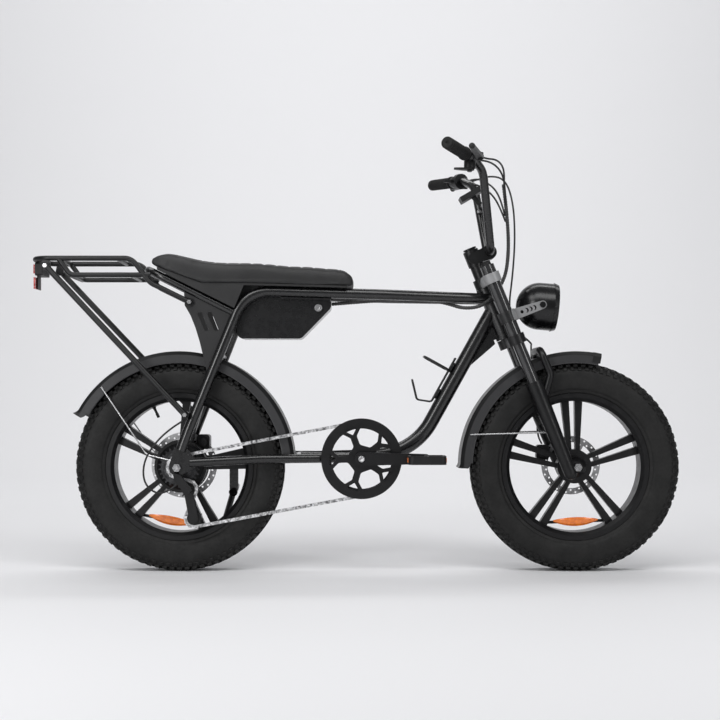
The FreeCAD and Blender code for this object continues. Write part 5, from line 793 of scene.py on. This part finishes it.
def addFenderBead(bead, settings):
    outline = settings["outline"]
    rings = settings["stations"] + 1
    low, high = (math.radians(angle) for angle in bead["span"])
    points = []
    faces = []
    for facing in (-1, 1):
        faces += shiftFaces(cappedFaces(rings, len(outline)), len(points))
        for step in range(rings):
            angle = low + (high - low) * step / settings["stations"]
            for radius, side in outline:
                points.append(wheelPoint(bead["centre"], radius * mm, side * facing * mm, angle))
    piece = closedPiece(bead["name"], points, faces, looks[bead["look"]], smooth=False)
    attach(piece, bead["body"])


for end in fenderEnds:
    addFenderEnd(end, fenderSettings)
for bead in fenderBeads:
    addFenderBead(bead, beadSettings)
print("fenders edged")


# a piece turned round an axis from an outline in mm; a radius of nothing becomes a tiny hole
tinyRadius = 0.05


def turnedPiece(name, outline, centre, axis, material, sides, closed):
    across = axis.orthogonal().normalized()
    other = axis.cross(across)
    points = []
    for along, radius in outline:
        radius = max(radius, tinyRadius) * mm
        for step in range(sides):
            angle = 2 * math.pi * step / sides
            points.append(centre + axis * (along * mm) + (across * math.cos(angle) + other * math.sin(angle)) * radius)
    rings = len(outline)
    faces = ringFaces(rings, sides, closed=True) if closed else cappedFaces(rings, sides)
    return closedPiece(name, points, faces, material)


# headlight: a bright bowl and a small lamp block behind the glass
lampInside = {"tilt": -5, "bowlSides": 64, "blockSides": 32,
              "bowl": [(35, 56), (34, 54), (28, 49), (21, 42), (12, 32), (5, 21), (1, 13), (0, 8), (-2, 8), (-2, 13),
                       (3, 23), (10, 34), (19, 44), (27, 51), (33, 56)],
              "block": [(-1, 0), (-1, 7.5), (9, 7.5), (10, 6.5), (10, 0)]}


def addLampInside(settings):
    axis = wheelAxes(math.radians(settings["tilt"]))[0]
    bowl = turnedPiece("lampBowl", settings["bowl"], lampCentre, axis, looks["mirrorBowl"],
                       settings["bowlSides"], True)
    block = turnedPiece("lampBlock", settings["block"], lampCentre, axis, looks["lampBlock"],
                        settings["blockSides"], False)
    for piece in (bowl, block):
        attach(piece, "headlight")


addLampInside(lampInside)
print("headlight fitted")


# hand grips: ribbed sleeves with a thick inner collar and a hole at the end; outlines in mm from the bar's end
gripSettings = {"end": (0.2229, 0.340, 1.0915), "outward": (-0.44155, 0.89429, 0.07266), "length": 118,
                "radius": 15.0, "bore": 11.5, "boreEnd": 0.3, "sides": 40,
                "collar": 17.8, "collarLength": 6, "collarEdge": 1,
                "ribStart": 6, "ribEnd": -10, "ribPitch": 3.2,
                "rib": [(0, 0), (0.5, 0.7), (1.6, 0.7), (2.1, 0)],  # along, above the sleeve
                "cap": [(-6, 0.4), (0, 0.4), (2.4, -1.4), (3, -4)],  # along, above the sleeve
                "hole": [(3, 2.2), (1, 2.0), (0.4, 0.4)]}  # along, radius


def gripOutline(settings):
    start = -settings["length"]
    collarEnd = start + settings["collarLength"]
    edge = settings["collarEdge"]
    collar = settings["collar"]
    radius = settings["radius"]
    outline = [(start, settings["bore"]), (start, collar - edge), (start + edge, collar), (collarEnd, collar),
               (collarEnd + edge, radius)]
    place = collarEnd + settings["ribStart"]
    while place < settings["ribEnd"]:
        outline += [(place + shift, radius + rise) for shift, rise in settings["rib"]]
        place += settings["ribPitch"]
    outline += [(along, radius + rise) for along, rise in settings["cap"]]
    return outline + settings["hole"] + [(settings["boreEnd"], settings["bore"])]


def addGrips(settings):
    for name, facing in (("right", -1), ("left", 1)):
        end = Vector(settings["end"])
        outward = Vector(settings["outward"])
        end.y *= facing
        outward.y *= facing
        grip = turnedPiece(name + "Grip", gripOutline(settings), end, outward.normalized(), looks["gripRubber"],
                           settings["sides"], True)
        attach(grip, "steering")
    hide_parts("grips")


addGrips(gripSettings)
print("grips fitted")


# small fittings: display glass, crank caps, pedal reflectors, battery lock
displaySettings = {"centre": (0.3106, 0, 1.0130), "tilt": 30, "lift": 7.9 * mm, "edge": 0.5 * mm,
                   "halves": (28 * mm, 25 * mm, 0.7 * mm)}


def addDisplayGlass(settings):
    run, normal = wheelAxes(math.radians(settings["tilt"]))
    glass = blockPiece("displayGlass", Vector(settings["centre"]) + normal * settings["lift"], (run, sideways, normal),
                       settings["halves"], looks["screenGlass"], settings["edge"])
    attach(glass, "steering")


capSettings = {"side": 95.2, "sides": 32,
               "outline": [(0, 8.4), (2.4, 8.4), (3.2, 7.6), (3.2, 4.4), (1.2, 4.0), (1.2, 0)]}


def addCrankCap(name, facing, settings):
    cap = turnedPiece(name + "CrankCap", settings["outline"],
                      crankCentre + sideways * (facing * settings["side"] * mm), sideways * facing,
                      looks["brightSteel"], settings["sides"], False)
    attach(cap, "crank")


pedalSettings = {"reach": 0.170, "side": 0.143, "ahead": 49.4 * mm, "halves": (1.4 * mm, 20 * mm, 6 * mm),
                 "edge": 0.8 * mm}


def addPedalReflectors(name, facing, settings):
    middle = crankCentre + Vector((-facing * settings["reach"], facing * settings["side"], 0))
    for place, ahead in (("Front", 1), ("Rear", -1)):
        strip = blockPiece(name + "Pedal" + place + "Reflector", middle + forward * (ahead * settings["ahead"]),
                           (forward, sideways, upward), settings["halves"], looks["amberReflector"], settings["edge"])
        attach(strip, "pedal_" + name)


lockSettings = {"centre": (-0.102, -0.0502, 0.7047), "sides": 40,
                "outline": [(0, 10.4), (1.6, 10.4), (2.2, 9.6), (2.2, 6.6), (1.2, 6.2), (1.2, 0)]}


def addBatteryLock(settings):
    barrel = turnedPiece("batteryLock", settings["outline"], Vector(settings["centre"]), sideways * -1,
                         looks["dullAlloy"], settings["sides"], False)
    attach(barrel, "frame")


addDisplayGlass(displaySettings)
for name, facing in (("right", -1), ("left", 1)):
    addCrankCap(name, facing, capSettings)
    addPedalReflectors(name, facing, pedalSettings)
addBatteryLock(lockSettings)
print("small fittings on")
